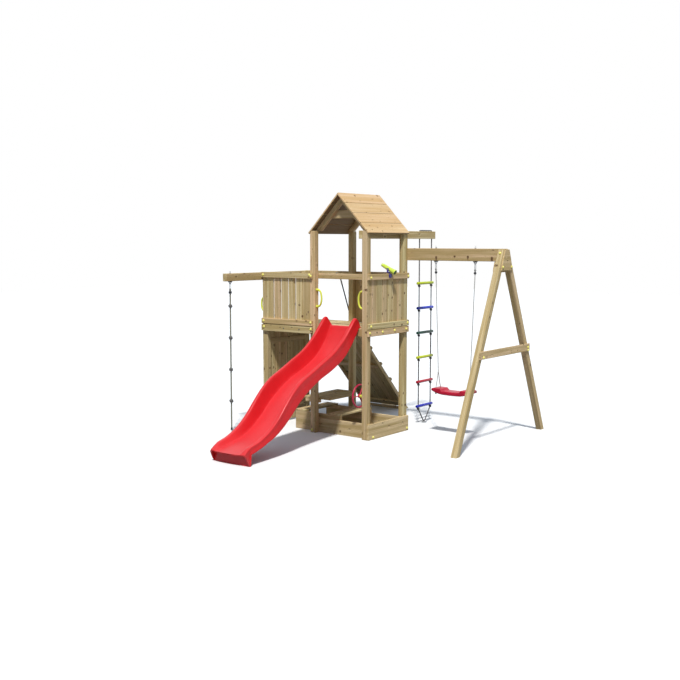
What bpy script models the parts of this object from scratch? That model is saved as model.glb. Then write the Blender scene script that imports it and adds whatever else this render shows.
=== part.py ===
# Wooden climbing playset: a roofed tower with a wave slide, a lower annex with a climbing ramp,
# a knotted climbing rope, a rope ladder, and a swing that hangs from an A-frame.
# Metres, +Z up. The origin is on the ground under the middle of the whole set.
# +X runs from the annex towards the A-frame, and the slide comes out towards -Y.

import math

import bmesh
import bpy
from mathutils import Matrix, Vector

# Clearances
GAP = 0.0003
LET_IN = 0.001
ROPE_CLEARANCE = 0.0015
RUNNING_CLEARANCE = 0.0005

# Tower and annex plan
POST = 0.070
TOWER_WIDTH = 0.800
TOWER_DEPTH = 0.790
ANNEX_WIDTH = 0.724
TOWER_POST_HEIGHT = 2.303
ANNEX_POST_HEIGHT = 1.826
TIMBER_CHAMFER = 0.004
BOARD_CHAMFER = 0.002

# Deck
DECK_HEIGHT = 1.232
FLOOR_THICKNESS = 0.020
FLOOR_SPACING = 0.006
TOWER_FLOOR_BOARDS = 6
ANNEX_FLOOR_BOARDS = 7
FLOOR_END_INSET = 0.003
JOIST_HEIGHT = 0.070
JOIST_THICKNESS = 0.025
JOIST_INSET = 0.005
HEADER_EXTRA_HEIGHT = 0.003

# Railings
RAIL_HEIGHT = 0.063
RAIL_THICKNESS = 0.025
BOTTOM_RAIL_FOOT = 1.225
TOP_RAIL_FOOT = 1.765
SLAT_THICKNESS = 0.018
SLAT_TOP_BELOW_RAIL_TOP = 0.025
ANNEX_SLATS = 6
TOWER_SLATS = 6
ANNEX_SLAT_SPACING = 0.014
TOWER_SLAT_SPACING = 0.003
TOWER_SLAT_WIDE_SPACING = 0.010
ANNEX_RAIL_LAP = 0.045
REAR_RAIL_LAP = 0.033

# Beam for the climbing rope
ROPE_BEAM_WIDTH = 0.058
ROPE_BEAM_HEIGHT = 0.088
ROPE_BEAM_FOOT = 1.734
ROPE_BEAM_REACH = 0.605
ROPE_HOOK_REACH = 0.516

# Roof
RIDGE_HEIGHT = 2.720
EAVES_HEIGHT = 2.280
ROOF_HALF_WIDTH = 0.425
ROOF_BOARD = 0.020
ROOF_BOARDS_PER_SLOPE = 4
ROOF_OVERHANG = 0.004
ROOF_GROOVE = 0.003
RAFTER_WIDTH = 0.045
RAFTER_SETBACK = 0.050
RAFTER_DEPTH = 0.060
COLLAR_FOOT_SHARE = 0.454
COLLAR_HEIGHT_SHARE = 0.299
COLLAR_END_INSET = 0.042
COLLAR_THICKNESS = 0.020

# Slide
SLIDE_MIDDLE = 0.400
SLIDE_HALF_WIDTH = 0.245
SLIDE_BED_HALF_WIDTH = 0.170
SLIDE_CREST_WIDTH = 0.022
SLIDE_CREST_INSET = 0.012
SLIDE_LEAST_RISE = 0.004
SLIDE_LEAST_EDGE = 0.001
SLIDE_WALL = 0.009
SLIDE_REACH = 1.800
SLIDE_LIP_ON_DECK = 0.100
SLIDE_FOOT_START = 1.712
SLIDE_FOOT_THICKNESS = 0.038
SLIDE_STATION_STEP = 0.072
SLIDE_LIP_BOW = 0.028

# Climbing ramp
RAMP_REACH = 1.370
RAMP_FOOT = 1.260
RAMP_SLOPE = 1.023
RAMP_STRINGER = 0.028
RAMP_STRINGER_DEPTH = 0.052
RAMP_INSET = 0.010
RAMP_LEFT_INSET = 0.034
RAMP_BOARD = 0.018
RAMP_BOARDS = 6
RAMP_CLEATS = 5
RAMP_CLEAT_HEIGHT = 0.030
RAMP_CLEAT_WIDTH = 0.040
RAMP_CLEAT_START = 0.215
RAMP_CLEAT_PITCH = 0.215
RAMP_GROOVE = 0.003
RAMP_DECK_START = 0.010
RAMP_DECK_END_CLEARANCE = 0.045
RAMP_TIES = 3
RAMP_TIE_START = 0.069
RAMP_TIE_PITCH = 0.758
RAMP_TIE_WIDTH = 0.070
RAMP_TIE_CLEARANCE = 0.004
FOOT_TIE_BEFORE = 0.060
FOOT_TIE_AFTER = 0.030
FOOT_TIE_THICKNESS = 0.020
TONGUE_WIDTH = 0.200
TONGUE_SETBACK = 0.010
TONGUE_THICKNESS = 0.012

# Ramp rope
RAMP_ROPE_OFFSET = 0.220
RAMP_ROPE_OUTREACH = 0.390
RAMP_ROPE_FALL = 0.805
RAMP_ROPE_CLEARANCE = 0.006
RAMP_ROPE_LYING_START = 0.560
RAMP_ROPE_LYING_PITCH = 0.120
RAMP_ROPE_LYING_POINTS = 6

# Wall under the annex
WALL_THICKNESS = 0.022
WALL_INSET = 0.024
WALL_PLANKS = 6
WALL_SPACING = 0.004
WALL_FOOT = 0.020
WALL_TOP_CLEARANCE = 0.012
BATTEN_THICKNESS = 0.018
BATTEN_HEIGHT = 0.060
BATTEN_FROM_END = 0.150

# Swing
SWING_SPAN = 1.243
SWING_BEAM_WIDTH = 0.070
SWING_BEAM_HEIGHT = 0.138
SWING_BEAM_FOOT = 1.969
SWING_BEAM_LAP = 0.070
SWING_MIDDLE = 0.6125
HOOK_HALF_SPACING = 0.2525
STRAND_HALF_SPACING = 0.2075
STRAND_HALF_DEPTH = 0.050
SWING_SPLIT_HEIGHT = 0.710
SWING_ROPE_RADIUS = 0.005
SEAT_LENGTH = 0.500
SEAT_DEPTH = 0.170
SEAT_BOTTOM = 0.462
SEAT_KNOT_DROP = 0.0112
SEAT_EDGE_ROUND = 0.012
SEAT_DISH = 0.002
SEAT_END_TAPER = 0.94
SWING_ROPE_STEPS = 14
SWING_TOP_KNOT_SWELL = 2.4
SWING_SPLIT_SWELL = 1.6

# Hooks and links
BOLT_RADIUS = 0.005
BOLT_TIP = 0.030
NUT_RADIUS = 0.010
NUT_HEIGHT = 0.009
PLATE_RADIUS = 0.022
PLATE_THICKNESS = 0.004
EYE_ROD = 0.004
EYE_HALF_WIDTH = 0.014
HOOK_DROP = 0.031
LINK_ROD = 0.0035
LINK_HALF_WIDTH = 0.012
LINK_LENGTH = 0.075
LINK_POINTS = 16

# A-frame
LEG = 0.068
LEG_LEAN = 0.446
LEG_SPREAD = 0.9975
LEG_HORIZONTAL_DEPTH = 0.072
LEG_TOP = 2.100
GUSSET_THICKNESS = 0.025
GUSSET_FOOT = 1.875
GUSSET_TOP_WIDTH = 0.090
GUSSET_FOOT_WIDTH = 0.250
CROSSBAR_FOOT = 0.960
CROSSBAR_HEIGHT = 0.085
CROSSBAR_LENGTH = 1.130

# Rope ladder
LADDER_BEAM_WIDTH = 0.045
LADDER_BEAM_HEIGHT = 0.089
LADDER_BEAM_REACH = 1.497
LADDER_REACH = 1.312
LADDER_ROPE_HALF_SPACING = 0.132
LADDER_ROPE_RADIUS = 0.006
RUNG_RADIUS = 0.015
RUNG_LENGTH = 0.356
RUNG_COUNT = 6
TOP_RUNG_HEIGHT = 1.690
RUNG_PITCH = 0.295
RUNG_KNOT_DROP = 0.007
RUNG_KNOT_REACH = 0.011
RUNG_KNOT_SWELL = 2.0
LADDER_ROPE_RISE = 0.001
ANCHOR_RADIUS = 0.030
ANCHOR_HEIGHT = 0.012
PEG_RADIUS = 0.012
PEG_HEIGHT = 0.006

# Climbing rope
CLIMB_ROPE_RADIUS = 0.009
CLIMB_ROPE_END = 0.060
KNOT_RADIUS = 0.019
TOP_KNOT_DROP = 0.176
LOW_KNOT_RISE = 0.295
KNOT_COUNT = 4
WHIPPING_LENGTH = 0.030
WHIPPING_SWELL = 1.3

# Grab handles
HANDLE_ROD = 0.009
HANDLE_HEIGHT = 0.190
HANDLE_REACH = 0.062
HANDLE_BEND_SHARE = 0.55
HANDLE_FOOT_SWELL = 1.7
SLIDE_HANDLE_FOOT = 1.450
WALL_HANDLE_FOOT = 1.365
WALL_HANDLE_REACH = 0.043
WALL_HANDLE_HEIGHT = 0.150

# Telescope
TELESCOPE_SETBACK = 0.400
TELESCOPE_PIVOT_ABOVE_RAIL = 0.052
TELESCOPE_TILT = math.radians(25.5)
TELESCOPE_REAR = 0.106
TELESCOPE_FRONT = 0.092
TELESCOPE_BODY_RADIUS = 0.023
TELESCOPE_BODY_TAPER = 0.001
TELESCOPE_EYE_RADIUS = 0.018
TELESCOPE_EYE_LENGTH = 0.022
TELESCOPE_COLLAR_RADIUS = 0.0205
TELESCOPE_COLLAR_STEP = 0.004
TELESCOPE_MOUTH_RADIUS = 0.029
TELESCOPE_MOUTH_DEPTH = 0.045
TELESCOPE_MOUTH_RING = 0.015
TELESCOPE_WALL = 0.004
TELESCOPE_MIDDLE_LENGTH = 0.060
FORK_ARM = 0.005
FORK_ARM_CLEARANCE = 0.003
FORK_ARM_TOP = 0.010
FORK_HALF_WIDTH = 0.011
FORK_FLOOR = 0.006
FORK_BASE_RADIUS = 0.0125
FORK_BASE_HEIGHT = 0.005
FORK_STEM_RADIUS = 0.009
FORK_STEM_HEIGHT = 0.013
TRUNNION_RADIUS = 0.004
TRUNNION_END = 0.002

# Steering wheel
WHEEL_RADIUS = 0.125
WHEEL_ROD = 0.010
WHEEL_HEIGHT = 0.481
WHEEL_STANDOFF = 0.055
HUB_RADIUS = 0.022
HUB_THICKNESS = 0.020
AXLE_RADIUS = 0.008
AXLE_SHOULDER_RADIUS = 0.014
AXLE_CAP = 0.006
AXLE_CAP_RADIUS = 0.012
MOUNT_FLANGE = 0.006
MOUNT_FLANGE_RADIUS = 0.034
MOUNT_NECK = 0.010
MOUNT_NECK_RADIUS = 0.020
WHEEL_SPOKES = 3
SPOKE_WIDTH = 0.020
SPOKE_THICKNESS = 0.012
WHEEL_POINTS = 24

# Sandbox
SANDBOX_BOARD = 0.025
SANDBOX_FRONT_HEIGHT = 0.165
SANDBOX_SIDE_HEIGHT = 0.177

# Picnic table and benches
TABLE_HEIGHT = 0.400
TABLE_THICKNESS = 0.020
TABLE_LEFT_OF_POST = 0.165
TABLE_RIGHT_OF_POST = 0.165
TABLE_CORNER = 0.200
TABLE_BATTEN_HEIGHT = 0.040
TABLE_BATTEN_INSET = 0.035
TABLE_BATTEN_RIGHT_INSET = 0.150
BENCH_HEIGHT = 0.232
BENCH_WIDTH = 0.170
BENCH_OUTREACH = 0.300
BENCH_BEAM_HEIGHT = 0.110

# Places worked out from the sizes
RIGHT = (ROPE_BEAM_WIDTH + ANNEX_WIDTH + TOWER_WIDTH - SWING_SPAN - GUSSET_THICKNESS) / 2
LEFT = RIGHT - TOWER_WIDTH
ANNEX_LEFT = LEFT - ANNEX_WIDTH
FRONT = (SLIDE_REACH - TOWER_DEPTH - RAMP_REACH) / 2
REAR = FRONT + TOWER_DEPTH
TOWER_MIDDLE = (LEFT + RIGHT) / 2
INNER_FRONT = FRONT + POST + GAP
INNER_REAR = REAR - POST - GAP
FLOOR_FOOT = DECK_HEIGHT - FLOOR_THICKNESS
RAIL_TOP = TOP_RAIL_FOOT + RAIL_HEIGHT
ROOF_PITCH = (RIDGE_HEIGHT - EAVES_HEIGHT) / ROOF_HALF_WIDTH
ROOF_ANGLE = math.atan(ROOF_PITCH)
SWING_BEAM_FRONT = REAR + GAP
SWING_BEAM_MIDDLE = SWING_BEAM_FRONT + SWING_BEAM_WIDTH / 2
SWING_BEAM_TOP = SWING_BEAM_FOOT + SWING_BEAM_HEIGHT
SWING_PIVOT = SWING_BEAM_FOOT - HOOK_DROP
SWING_END = RIGHT + SWING_SPAN
CLIMB_ROPE_X = ANNEX_LEFT - GAP - ROPE_BEAM_WIDTH / 2
CLIMB_ROPE_Y = FRONT - ROPE_HOOK_REACH
CLIMB_PIVOT = ROPE_BEAM_FOOT - HOOK_DROP
LINK_TOP_OFFSET = EYE_ROD + LINK_ROD + GAP


# Colours, read off the picture as sRGB hex values
def linear(hex_colour):
    channels = [int(hex_colour[i:i + 2], 16) / 255 for i in (1, 3, 5)]
    return [c / 12.92 if c <= 0.04045 else ((c + 0.055) / 1.055) ** 2.4 for c in channels]


def make_material(name, hex_colour, roughness, metallic=0.0):
    material = bpy.data.materials.new(name)
    material.use_nodes = True
    shader = material.node_tree.nodes["Principled BSDF"]
    shader.inputs["Base Color"].default_value = (*linear(hex_colour), 1.0)
    shader.inputs["Roughness"].default_value = roughness
    shader.inputs["Metallic"].default_value = metallic
    return material


# Making and joining solids
def add_object(name, data, material, location=(0, 0, 0), rotation=(0, 0, 0)):
    obj = bpy.data.objects.new(name, data)
    obj.location = location
    obj.rotation_euler = rotation
    obj.data.materials.clear()
    obj.data.materials.append(material)
    bpy.context.scene.collection.objects.link(obj)
    return obj


def mesh_from(bm, name):
    bmesh.ops.recalc_face_normals(bm, faces=bm.faces)
    mesh = bpy.data.meshes.new(name)
    bm.to_mesh(mesh)
    bm.free()
    return mesh


def smooth_rounds(obj):
    obj.data.shade_smooth()
    obj.data.set_sharp_from_angle(angle=math.radians(35))


# An outline in the plane across an axis, extruded along that axis and centred on it.
# The outline's two numbers are y and z across X, x and z across Y, and x and y across Z.
def extrusion(outline, axis, length):
    place = {
        "X": lambda u, v, w: (w, u, v),
        "Y": lambda u, v, w: (u, w, v),
        "Z": lambda u, v, w: (u, v, w),
    }[axis]
    bm = bmesh.new()
    low = [bm.verts.new(place(u, v, -length / 2)) for u, v in outline]
    high = [bm.verts.new(place(u, v, length / 2)) for u, v in outline]
    bm.faces.new(low)
    bm.faces.new(high)
    count = len(outline)
    for i in range(count):
        j = (i + 1) % count
        bm.faces.new((low[i], low[j], high[j], high[i]))
    return bm


def planed_outline(width, height, chamfer):
    a = width / 2
    b = height / 2
    c = chamfer
    return [
        (-a + c, -b), (a - c, -b), (a, -b + c), (a, b - c),
        (a - c, b), (-a + c, b), (-a, b - c), (-a, -b + c),
    ]


# A planed timber between two opposite corners, with its long edges chamfered.
def timber(name, low, high, material, chamfer=TIMBER_CHAMFER):
    size = [b - a for a, b in zip(low, high)]
    middle = [(a + b) / 2 for a, b in zip(low, high)]
    axis = "XYZ"[size.index(max(size))]
    across = [s for s, letter in zip(size, "XYZ") if letter != axis]
    edge = min(chamfer, min(across) / 4)
    bm = extrusion(planed_outline(across[0], across[1], edge), axis, max(size))
    return add_object(name, mesh_from(bm, name), material, middle)


def cylinder(name, start, end, radius, material, sides=16, end_radius=None):
    start = Vector(start)
    run = Vector(end) - start
    bm = bmesh.new()
    bmesh.ops.create_cone(
        bm, cap_ends=True, segments=sides, radius1=radius,
        radius2=radius if end_radius is None else end_radius, depth=run.length,
    )
    obj = add_object(name, mesh_from(bm, name), material, start + run / 2)
    obj.rotation_euler = run.to_track_quat("Z", "Y").to_euler()
    return obj


# A round tube along points, with a radius factor at each point, as one closed solid.
def tube(name, points, radius, material, factors=None, closed=False, resolution=2):
    curve = bpy.data.curves.new(name, "CURVE")
    curve.dimensions = "3D"
    curve.bevel_depth = radius
    curve.bevel_resolution = resolution
    curve.use_fill_caps = True
    origin = Vector(points[0])
    spline = curve.splines.new("POLY")
    spline.points.add(len(points) - 1)
    for i, point in enumerate(points):
        spline.points[i].co = (*(Vector(point) - origin), 1.0)
        spline.points[i].radius = 1.0 if factors is None else factors[i]
    spline.use_cyclic_u = closed
    return add_object(name, curve, material, origin)


def evaluated_mesh(obj):
    graph = bpy.context.evaluated_depsgraph_get()
    graph.update()
    mesh = bpy.data.meshes.new_from_object(obj.evaluated_get(graph))
    mesh.name = obj.name
    return mesh


def as_mesh(obj):
    if obj.type == "MESH" and not obj.modifiers:
        return obj
    solid = bpy.data.objects.new(obj.name, evaluated_mesh(obj))
    solid.matrix_world = obj.matrix_basis
    name = obj.name
    bpy.context.scene.collection.objects.link(solid)
    bpy.data.objects.remove(obj, do_unlink=True)
    solid.name = name
    return solid


def combine(target, others, operation):
    for other in others:
        step = target.modifiers.new(operation.title(), "BOOLEAN")
        step.operation = operation
        step.solver = "EXACT"
        step.object = other
    mesh = evaluated_mesh(target)
    target.modifiers.clear()
    target.data = mesh
    for other in others:
        bpy.data.objects.remove(other, do_unlink=True)
    return target


def join_pieces(name, pieces):
    solids = [as_mesh(piece) for piece in pieces]
    whole = combine(solids[0], solids[1:], "UNION")
    whole.name = name
    whole.data.name = name
    return whole


def bore(obj, start, end, radius, sides=16):
    cutter = cylinder("cutter", start, end, radius, obj.data.materials[0], sides)
    return combine(obj, [cutter], "DIFFERENCE")


# Curves through a few chosen points
def spline_value(table, at):
    xs = [x for x, _ in table]
    ys = [y for _, y in table]
    if at <= xs[0]:
        return ys[0]
    if at >= xs[-1]:
        return ys[-1]
    k = max(i for i in range(len(xs) - 1) if xs[i] <= at)
    slopes = []
    for i in (k, k + 1):
        a = max(i - 1, 0)
        b = min(i + 1, len(xs) - 1)
        slopes.append((ys[b] - ys[a]) / (xs[b] - xs[a]))
    span = xs[k + 1] - xs[k]
    t = (at - xs[k]) / span
    return (
        (2 * t ** 3 - 3 * t ** 2 + 1) * ys[k] + (t ** 3 - 2 * t ** 2 + t) * span * slopes[0]
        + (3 * t ** 2 - 2 * t ** 3) * ys[k + 1] + (t ** 3 - t ** 2) * span * slopes[1]
    )


def smooth_route(points, steps):
    route = []
    count = len(points)
    for i in range(count - 1):
        p0, p1, p2, p3 = (Vector(points[min(max(j, 0), count - 1)]) for j in range(i - 1, i + 3))
        for s in range(steps):
            t = s / steps
            route.append(
                0.5 * (2 * p1 + (p2 - p0) * t + (2 * p0 - 5 * p1 + 4 * p2 - p3) * t ** 2
                       + (3 * p1 - p0 - 3 * p2 + p3) * t ** 3)
            )
    route.append(Vector(points[-1]))
    return route


PINE = make_material("treated pine", "#bfa97a", 0.7)
ROOF_PINE = make_material("roof pine", "#dcc08f", 0.7)
SLIDE_RED = make_material("red polyethylene", "#e0242b", 0.35)
SEAT_RED = make_material("crimson seat plastic", "#c8173a", 0.4)
WHEEL_RED = make_material("crimson wheel plastic", "#c01a45", 0.4)
HANDLE_YELLOW = make_material("yellow handle plastic", "#e4e94c", 0.4)
TELESCOPE_LIME = make_material("lime tube plastic", "#d9ef5e", 0.35)
FORK_VIOLET = make_material("violet fork plastic", "#3b2f8c", 0.4)
STEEL = make_material("zinc-plated steel", "#a9abad", 0.4, 1.0)
LADDER_ROPE_GREY = make_material("dark ladder rope", "#55575b", 0.9)
SWING_ROPE_WHITE = make_material("light swing rope", "#c6c6c2", 0.9)
CLIMB_ROPE_GREY = make_material("grey climbing rope", "#8b8b86", 0.9)
RUNG_MATERIALS = [
    make_material("lime rung plastic", "#c3d12b", 0.4),
    make_material("blue rung plastic", "#2f48c6", 0.4),
    make_material("green rung plastic", "#114a3c", 0.4),
    make_material("yellow rung plastic", "#c9d431", 0.4),
    make_material("crimson rung plastic", "#c3203c", 0.4),
    make_material("lower blue rung plastic", "#2f3fc6", 0.4),
]


# Roof: two slopes of lapped boards, mitred at the ridge, on a pair of rafters at each end
def roof_underside(x):
    return RIDGE_HEIGHT - ROOF_BOARD / math.cos(ROOF_ANGLE) - ROOF_PITCH * abs(x - TOWER_MIDDLE)


def make_roof_slope(name, side):
    slope_length = math.hypot(ROOF_HALF_WIDTH, RIDGE_HEIGHT - EAVES_HEIGHT)
    board = slope_length / ROOF_BOARDS_PER_SLOPE
    surface = [(0.0, 0.0)]
    for k in range(1, ROOF_BOARDS_PER_SLOPE):
        joint = k * board
        surface += [(joint - ROOF_GROOVE, 0.0), (joint, -ROOF_GROOVE), (joint + ROOF_GROOVE, 0.0)]
    surface += [(slope_length, 0.0), (slope_length, -ROOF_BOARD)]
    surface.append((ROOF_BOARD * math.tan(ROOF_ANGLE), -ROOF_BOARD))
    across = math.cos(ROOF_ANGLE)
    down = math.sin(ROOF_ANGLE)
    outline = [
        (side * (GAP / 2 + s * across + n * down), n * across - s * down) for s, n in surface
    ]
    length = TOWER_DEPTH + 2 * ROOF_OVERHANG
    mesh = mesh_from(extrusion(outline, "Y", length), name)
    return add_object(name, mesh, ROOF_PINE, (TOWER_MIDDLE, (FRONT + REAR) / 2, RIDGE_HEIGHT))


def make_gable(name, post_face, inward):
    outer_face = post_face + inward * RAFTER_SETBACK
    seat = TOWER_POST_HEIGHT + GAP
    top = roof_underside(TOWER_MIDDLE) - GAP
    lower_top = top - RAFTER_DEPTH / math.cos(ROOF_ANGLE)
    toe = (top - seat) / ROOF_PITCH
    heel = (lower_top - seat) / ROOF_PITCH
    rafters_outline = [(0, top), (toe, seat), (heel, seat), (0, lower_top), (-heel, seat), (-toe, seat)]
    rafters = add_object(
        name, mesh_from(extrusion(rafters_outline, "Y", RAFTER_WIDTH), name), PINE,
        (TOWER_MIDDLE, outer_face + inward * RAFTER_WIDTH / 2, 0),
    )
    collar_foot = seat + COLLAR_FOOT_SHARE * (lower_top - seat)
    collar_height = COLLAR_HEIGHT_SHARE * (lower_top - seat)
    wide = (top - collar_foot) / ROOF_PITCH - COLLAR_END_INSET
    narrow = wide - collar_height / ROOF_PITCH
    collar_outline = [
        (-wide, collar_foot), (wide, collar_foot),
        (narrow, collar_foot + collar_height), (-narrow, collar_foot + collar_height),
    ]
    collar_y = outer_face + inward * (RAFTER_WIDTH - LET_IN + COLLAR_THICKNESS / 2)
    collar = add_object(
        "collar", mesh_from(extrusion(collar_outline, "Y", COLLAR_THICKNESS), "collar"), PINE,
        (TOWER_MIDDLE, collar_y, 0),
    )
    return join_pieces(name, [rafters, collar])


# Posts: the tower's have their outer top corner cut to the slope of the roof
def make_tower_post(name, x, y, side):
    low = (x, y, 0.0)
    post = timber(name, low, (x + POST, y + POST, TOWER_POST_HEIGHT), PINE)
    bm = bmesh.new()
    bm.from_mesh(post.data)
    edge = Vector((TOWER_MIDDLE, y, roof_underside(TOWER_MIDDLE) - GAP)) - post.location
    normal = Vector((side * ROOF_PITCH, 0, 1)).normalized()
    cut = bmesh.ops.bisect_plane(
        bm, geom=bm.verts[:] + bm.edges[:] + bm.faces[:], plane_co=edge, plane_no=normal,
        clear_outer=True,
    )
    cut_edges = [item for item in cut["geom_cut"] if isinstance(item, bmesh.types.BMEdge)]
    bmesh.ops.contextual_create(bm, geom=cut_edges)
    post.data = mesh_from(bm, name)
    post.data.materials.append(PINE)
    return post


def make_posts():
    make_tower_post("post_front_right", RIGHT - POST, FRONT, 1)
    make_tower_post("post_rear_right", RIGHT - POST, REAR - POST, 1)
    make_tower_post("post_front_left", LEFT, FRONT, -1)
    make_tower_post("post_rear_left", LEFT, REAR - POST, -1)
    for name, y in (("post_annex_front", FRONT), ("post_annex_rear", REAR - POST)):
        timber(name, (ANNEX_LEFT, y, 0.0), (ANNEX_LEFT + POST, y + POST, ANNEX_POST_HEIGHT), PINE)


# Decks: floor boards along X on joists, joined into one solid each
def make_tower_deck():
    joist_foot = FLOOR_FOOT - JOIST_HEIGHT
    joist_top = FLOOR_FOOT + LET_IN
    pieces = []
    for x in (RIGHT - JOIST_INSET - JOIST_THICKNESS, LEFT + JOIST_INSET):
        pieces.append(timber(
            "joist", (x, INNER_FRONT, joist_foot), (x + JOIST_THICKNESS, INNER_REAR, joist_top),
            PINE, BOARD_CHAMFER,
        ))
    pieces.append(timber(
        "joist", (TOWER_MIDDLE - JOIST_THICKNESS / 2, INNER_FRONT + JOIST_THICKNESS, joist_foot),
        (TOWER_MIDDLE + JOIST_THICKNESS / 2, INNER_REAR - JOIST_THICKNESS, joist_top),
        PINE, BOARD_CHAMFER,
    ))
    header_left = LEFT + JOIST_INSET + JOIST_THICKNESS - LET_IN
    header_right = RIGHT - JOIST_INSET - JOIST_THICKNESS + LET_IN
    for y in (INNER_FRONT + LET_IN, INNER_REAR - JOIST_THICKNESS - LET_IN):
        pieces.append(timber(
            "header", (header_left, y, joist_foot - HEADER_EXTRA_HEIGHT),
            (header_right, y + JOIST_THICKNESS, FLOOR_FOOT + HEADER_EXTRA_HEIGHT), PINE, BOARD_CHAMFER,
        ))
    board = (INNER_REAR - INNER_FRONT + FLOOR_SPACING) / TOWER_FLOOR_BOARDS
    for i in range(TOWER_FLOOR_BOARDS):
        y = INNER_FRONT + i * board
        pieces.append(timber(
            "floor board", (LEFT + FLOOR_END_INSET, y, FLOOR_FOOT),
            (RIGHT - FLOOR_END_INSET, y + board - FLOOR_SPACING, DECK_HEIGHT), PINE, BOARD_CHAMFER,
        ))
    return join_pieces("deck_tower", pieces)


def make_annex_deck():
    joist_foot = FLOOR_FOOT - JOIST_HEIGHT
    joist_top = FLOOR_FOOT + LET_IN
    inner_left = ANNEX_LEFT + POST + GAP
    inner_right = LEFT - GAP
    long_joists = (
        inner_left, (inner_left + inner_right - JOIST_THICKNESS) / 2, inner_right - JOIST_THICKNESS,
    )
    pieces = []
    for x in long_joists:
        pieces.append(timber(
            "joist", (x, FRONT - GAP - LET_IN, joist_foot),
            (x + JOIST_THICKNESS, REAR + GAP + LET_IN, joist_top), PINE, BOARD_CHAMFER,
        ))
    pieces.append(timber(
        "joist", (ANNEX_LEFT + JOIST_INSET, INNER_FRONT, joist_foot),
        (ANNEX_LEFT + JOIST_INSET + JOIST_THICKNESS, INNER_REAR, joist_top), PINE, BOARD_CHAMFER,
    ))
    for y in (FRONT - GAP - JOIST_THICKNESS, REAR + GAP):
        pieces.append(timber(
            "header", (ANNEX_LEFT, y, joist_foot - HEADER_EXTRA_HEIGHT),
            (LEFT + ANNEX_RAIL_LAP, y + JOIST_THICKNESS, FLOOR_FOOT + HEADER_EXTRA_HEIGHT),
            PINE, BOARD_CHAMFER,
        ))
    board = (TOWER_DEPTH + FLOOR_SPACING) / ANNEX_FLOOR_BOARDS
    for i in range(ANNEX_FLOOR_BOARDS):
        y = FRONT + i * board
        beside_posts = i in (0, ANNEX_FLOOR_BOARDS - 1)
        start = inner_left if beside_posts else ANNEX_LEFT + FLOOR_END_INSET
        pieces.append(timber(
            "floor board", (start, y, FLOOR_FOOT),
            (inner_right, y + board - FLOOR_SPACING, DECK_HEIGHT), PINE, BOARD_CHAMFER,
        ))
    return join_pieces("deck_annex", pieces)


# Railing panel, made facing +Y with its left end at x = 0 and the posts' faces at y = 0
def make_panel(name, length, slat_start, slat_end, slats, spacings, location, turn):
    pieces = []
    for foot in (BOTTOM_RAIL_FOOT, TOP_RAIL_FOOT):
        pieces.append(timber(
            "rail", (0, GAP, foot), (length, GAP + RAIL_THICKNESS, foot + RAIL_HEIGHT),
            PINE, BOARD_CHAMFER,
        ))
    slat_width = (slat_end - slat_start - sum(spacings)) / slats
    x = slat_start
    for i in range(slats):
        pieces.append(timber(
            "slat", (x, GAP + LET_IN - SLAT_THICKNESS, DECK_HEIGHT + GAP),
            (x + slat_width, GAP + LET_IN, RAIL_TOP - SLAT_TOP_BELOW_RAIL_TOP), PINE, BOARD_CHAMFER,
        ))
        x += slat_width + (spacings[i] if i < len(spacings) else 0)
    panel = join_pieces(name, pieces)
    panel.data.transform(Matrix.Translation(panel.location))
    panel.location = location
    panel.rotation_euler = (0, 0, turn)
    return panel


def make_railings():
    annex_length = ANNEX_WIDTH + ANNEX_RAIL_LAP
    make_panel(
        "panel_annex_front", annex_length, ANNEX_RAIL_LAP + GAP, annex_length - POST - GAP,
        ANNEX_SLATS, [ANNEX_SLAT_SPACING] * (ANNEX_SLATS - 1),
        (LEFT + ANNEX_RAIL_LAP, FRONT, 0), math.pi,
    )
    spacings = [TOWER_SLAT_SPACING] * (TOWER_SLATS - 1)
    spacings[TOWER_SLATS // 2] = TOWER_SLAT_WIDE_SPACING
    make_panel(
        "panel_right", TOWER_DEPTH, POST + GAP, TOWER_DEPTH - POST - GAP,
        TOWER_SLATS, spacings, (RIGHT, REAR, 0), -math.pi / 2,
    )
    rear_length = TOWER_WIDTH - REAR_RAIL_LAP
    make_panel(
        "panel_rear", rear_length, POST - REAR_RAIL_LAP + GAP, rear_length - POST - GAP,
        TOWER_SLATS, spacings, (LEFT + REAR_RAIL_LAP, REAR, 0), 0.0,
    )
    timber(
        "rail_front", (LEFT + FLOOR_END_INSET, INNER_FRONT, TOP_RAIL_FOOT),
        (RIGHT - SLAT_THICKNESS - GAP, INNER_FRONT + RAIL_THICKNESS, RAIL_TOP), PINE, BOARD_CHAMFER,
    )
    rail = timber(
        "rail_annex_rear", (ANNEX_LEFT, REAR + GAP, TOP_RAIL_FOOT),
        (LEFT + REAR_RAIL_LAP - GAP, REAR + GAP + RAIL_THICKNESS, RAIL_TOP), PINE, BOARD_CHAMFER,
    )
    height = TOP_RAIL_FOOT + RAIL_HEIGHT / 2
    x = LEFT - RAMP_ROPE_OFFSET
    bore(
        rail, (x, REAR - RAIL_THICKNESS, height), (x, REAR + 2 * RAIL_THICKNESS, height),
        LADDER_ROPE_RADIUS + ROPE_CLEARANCE, 12,
    )


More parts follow.
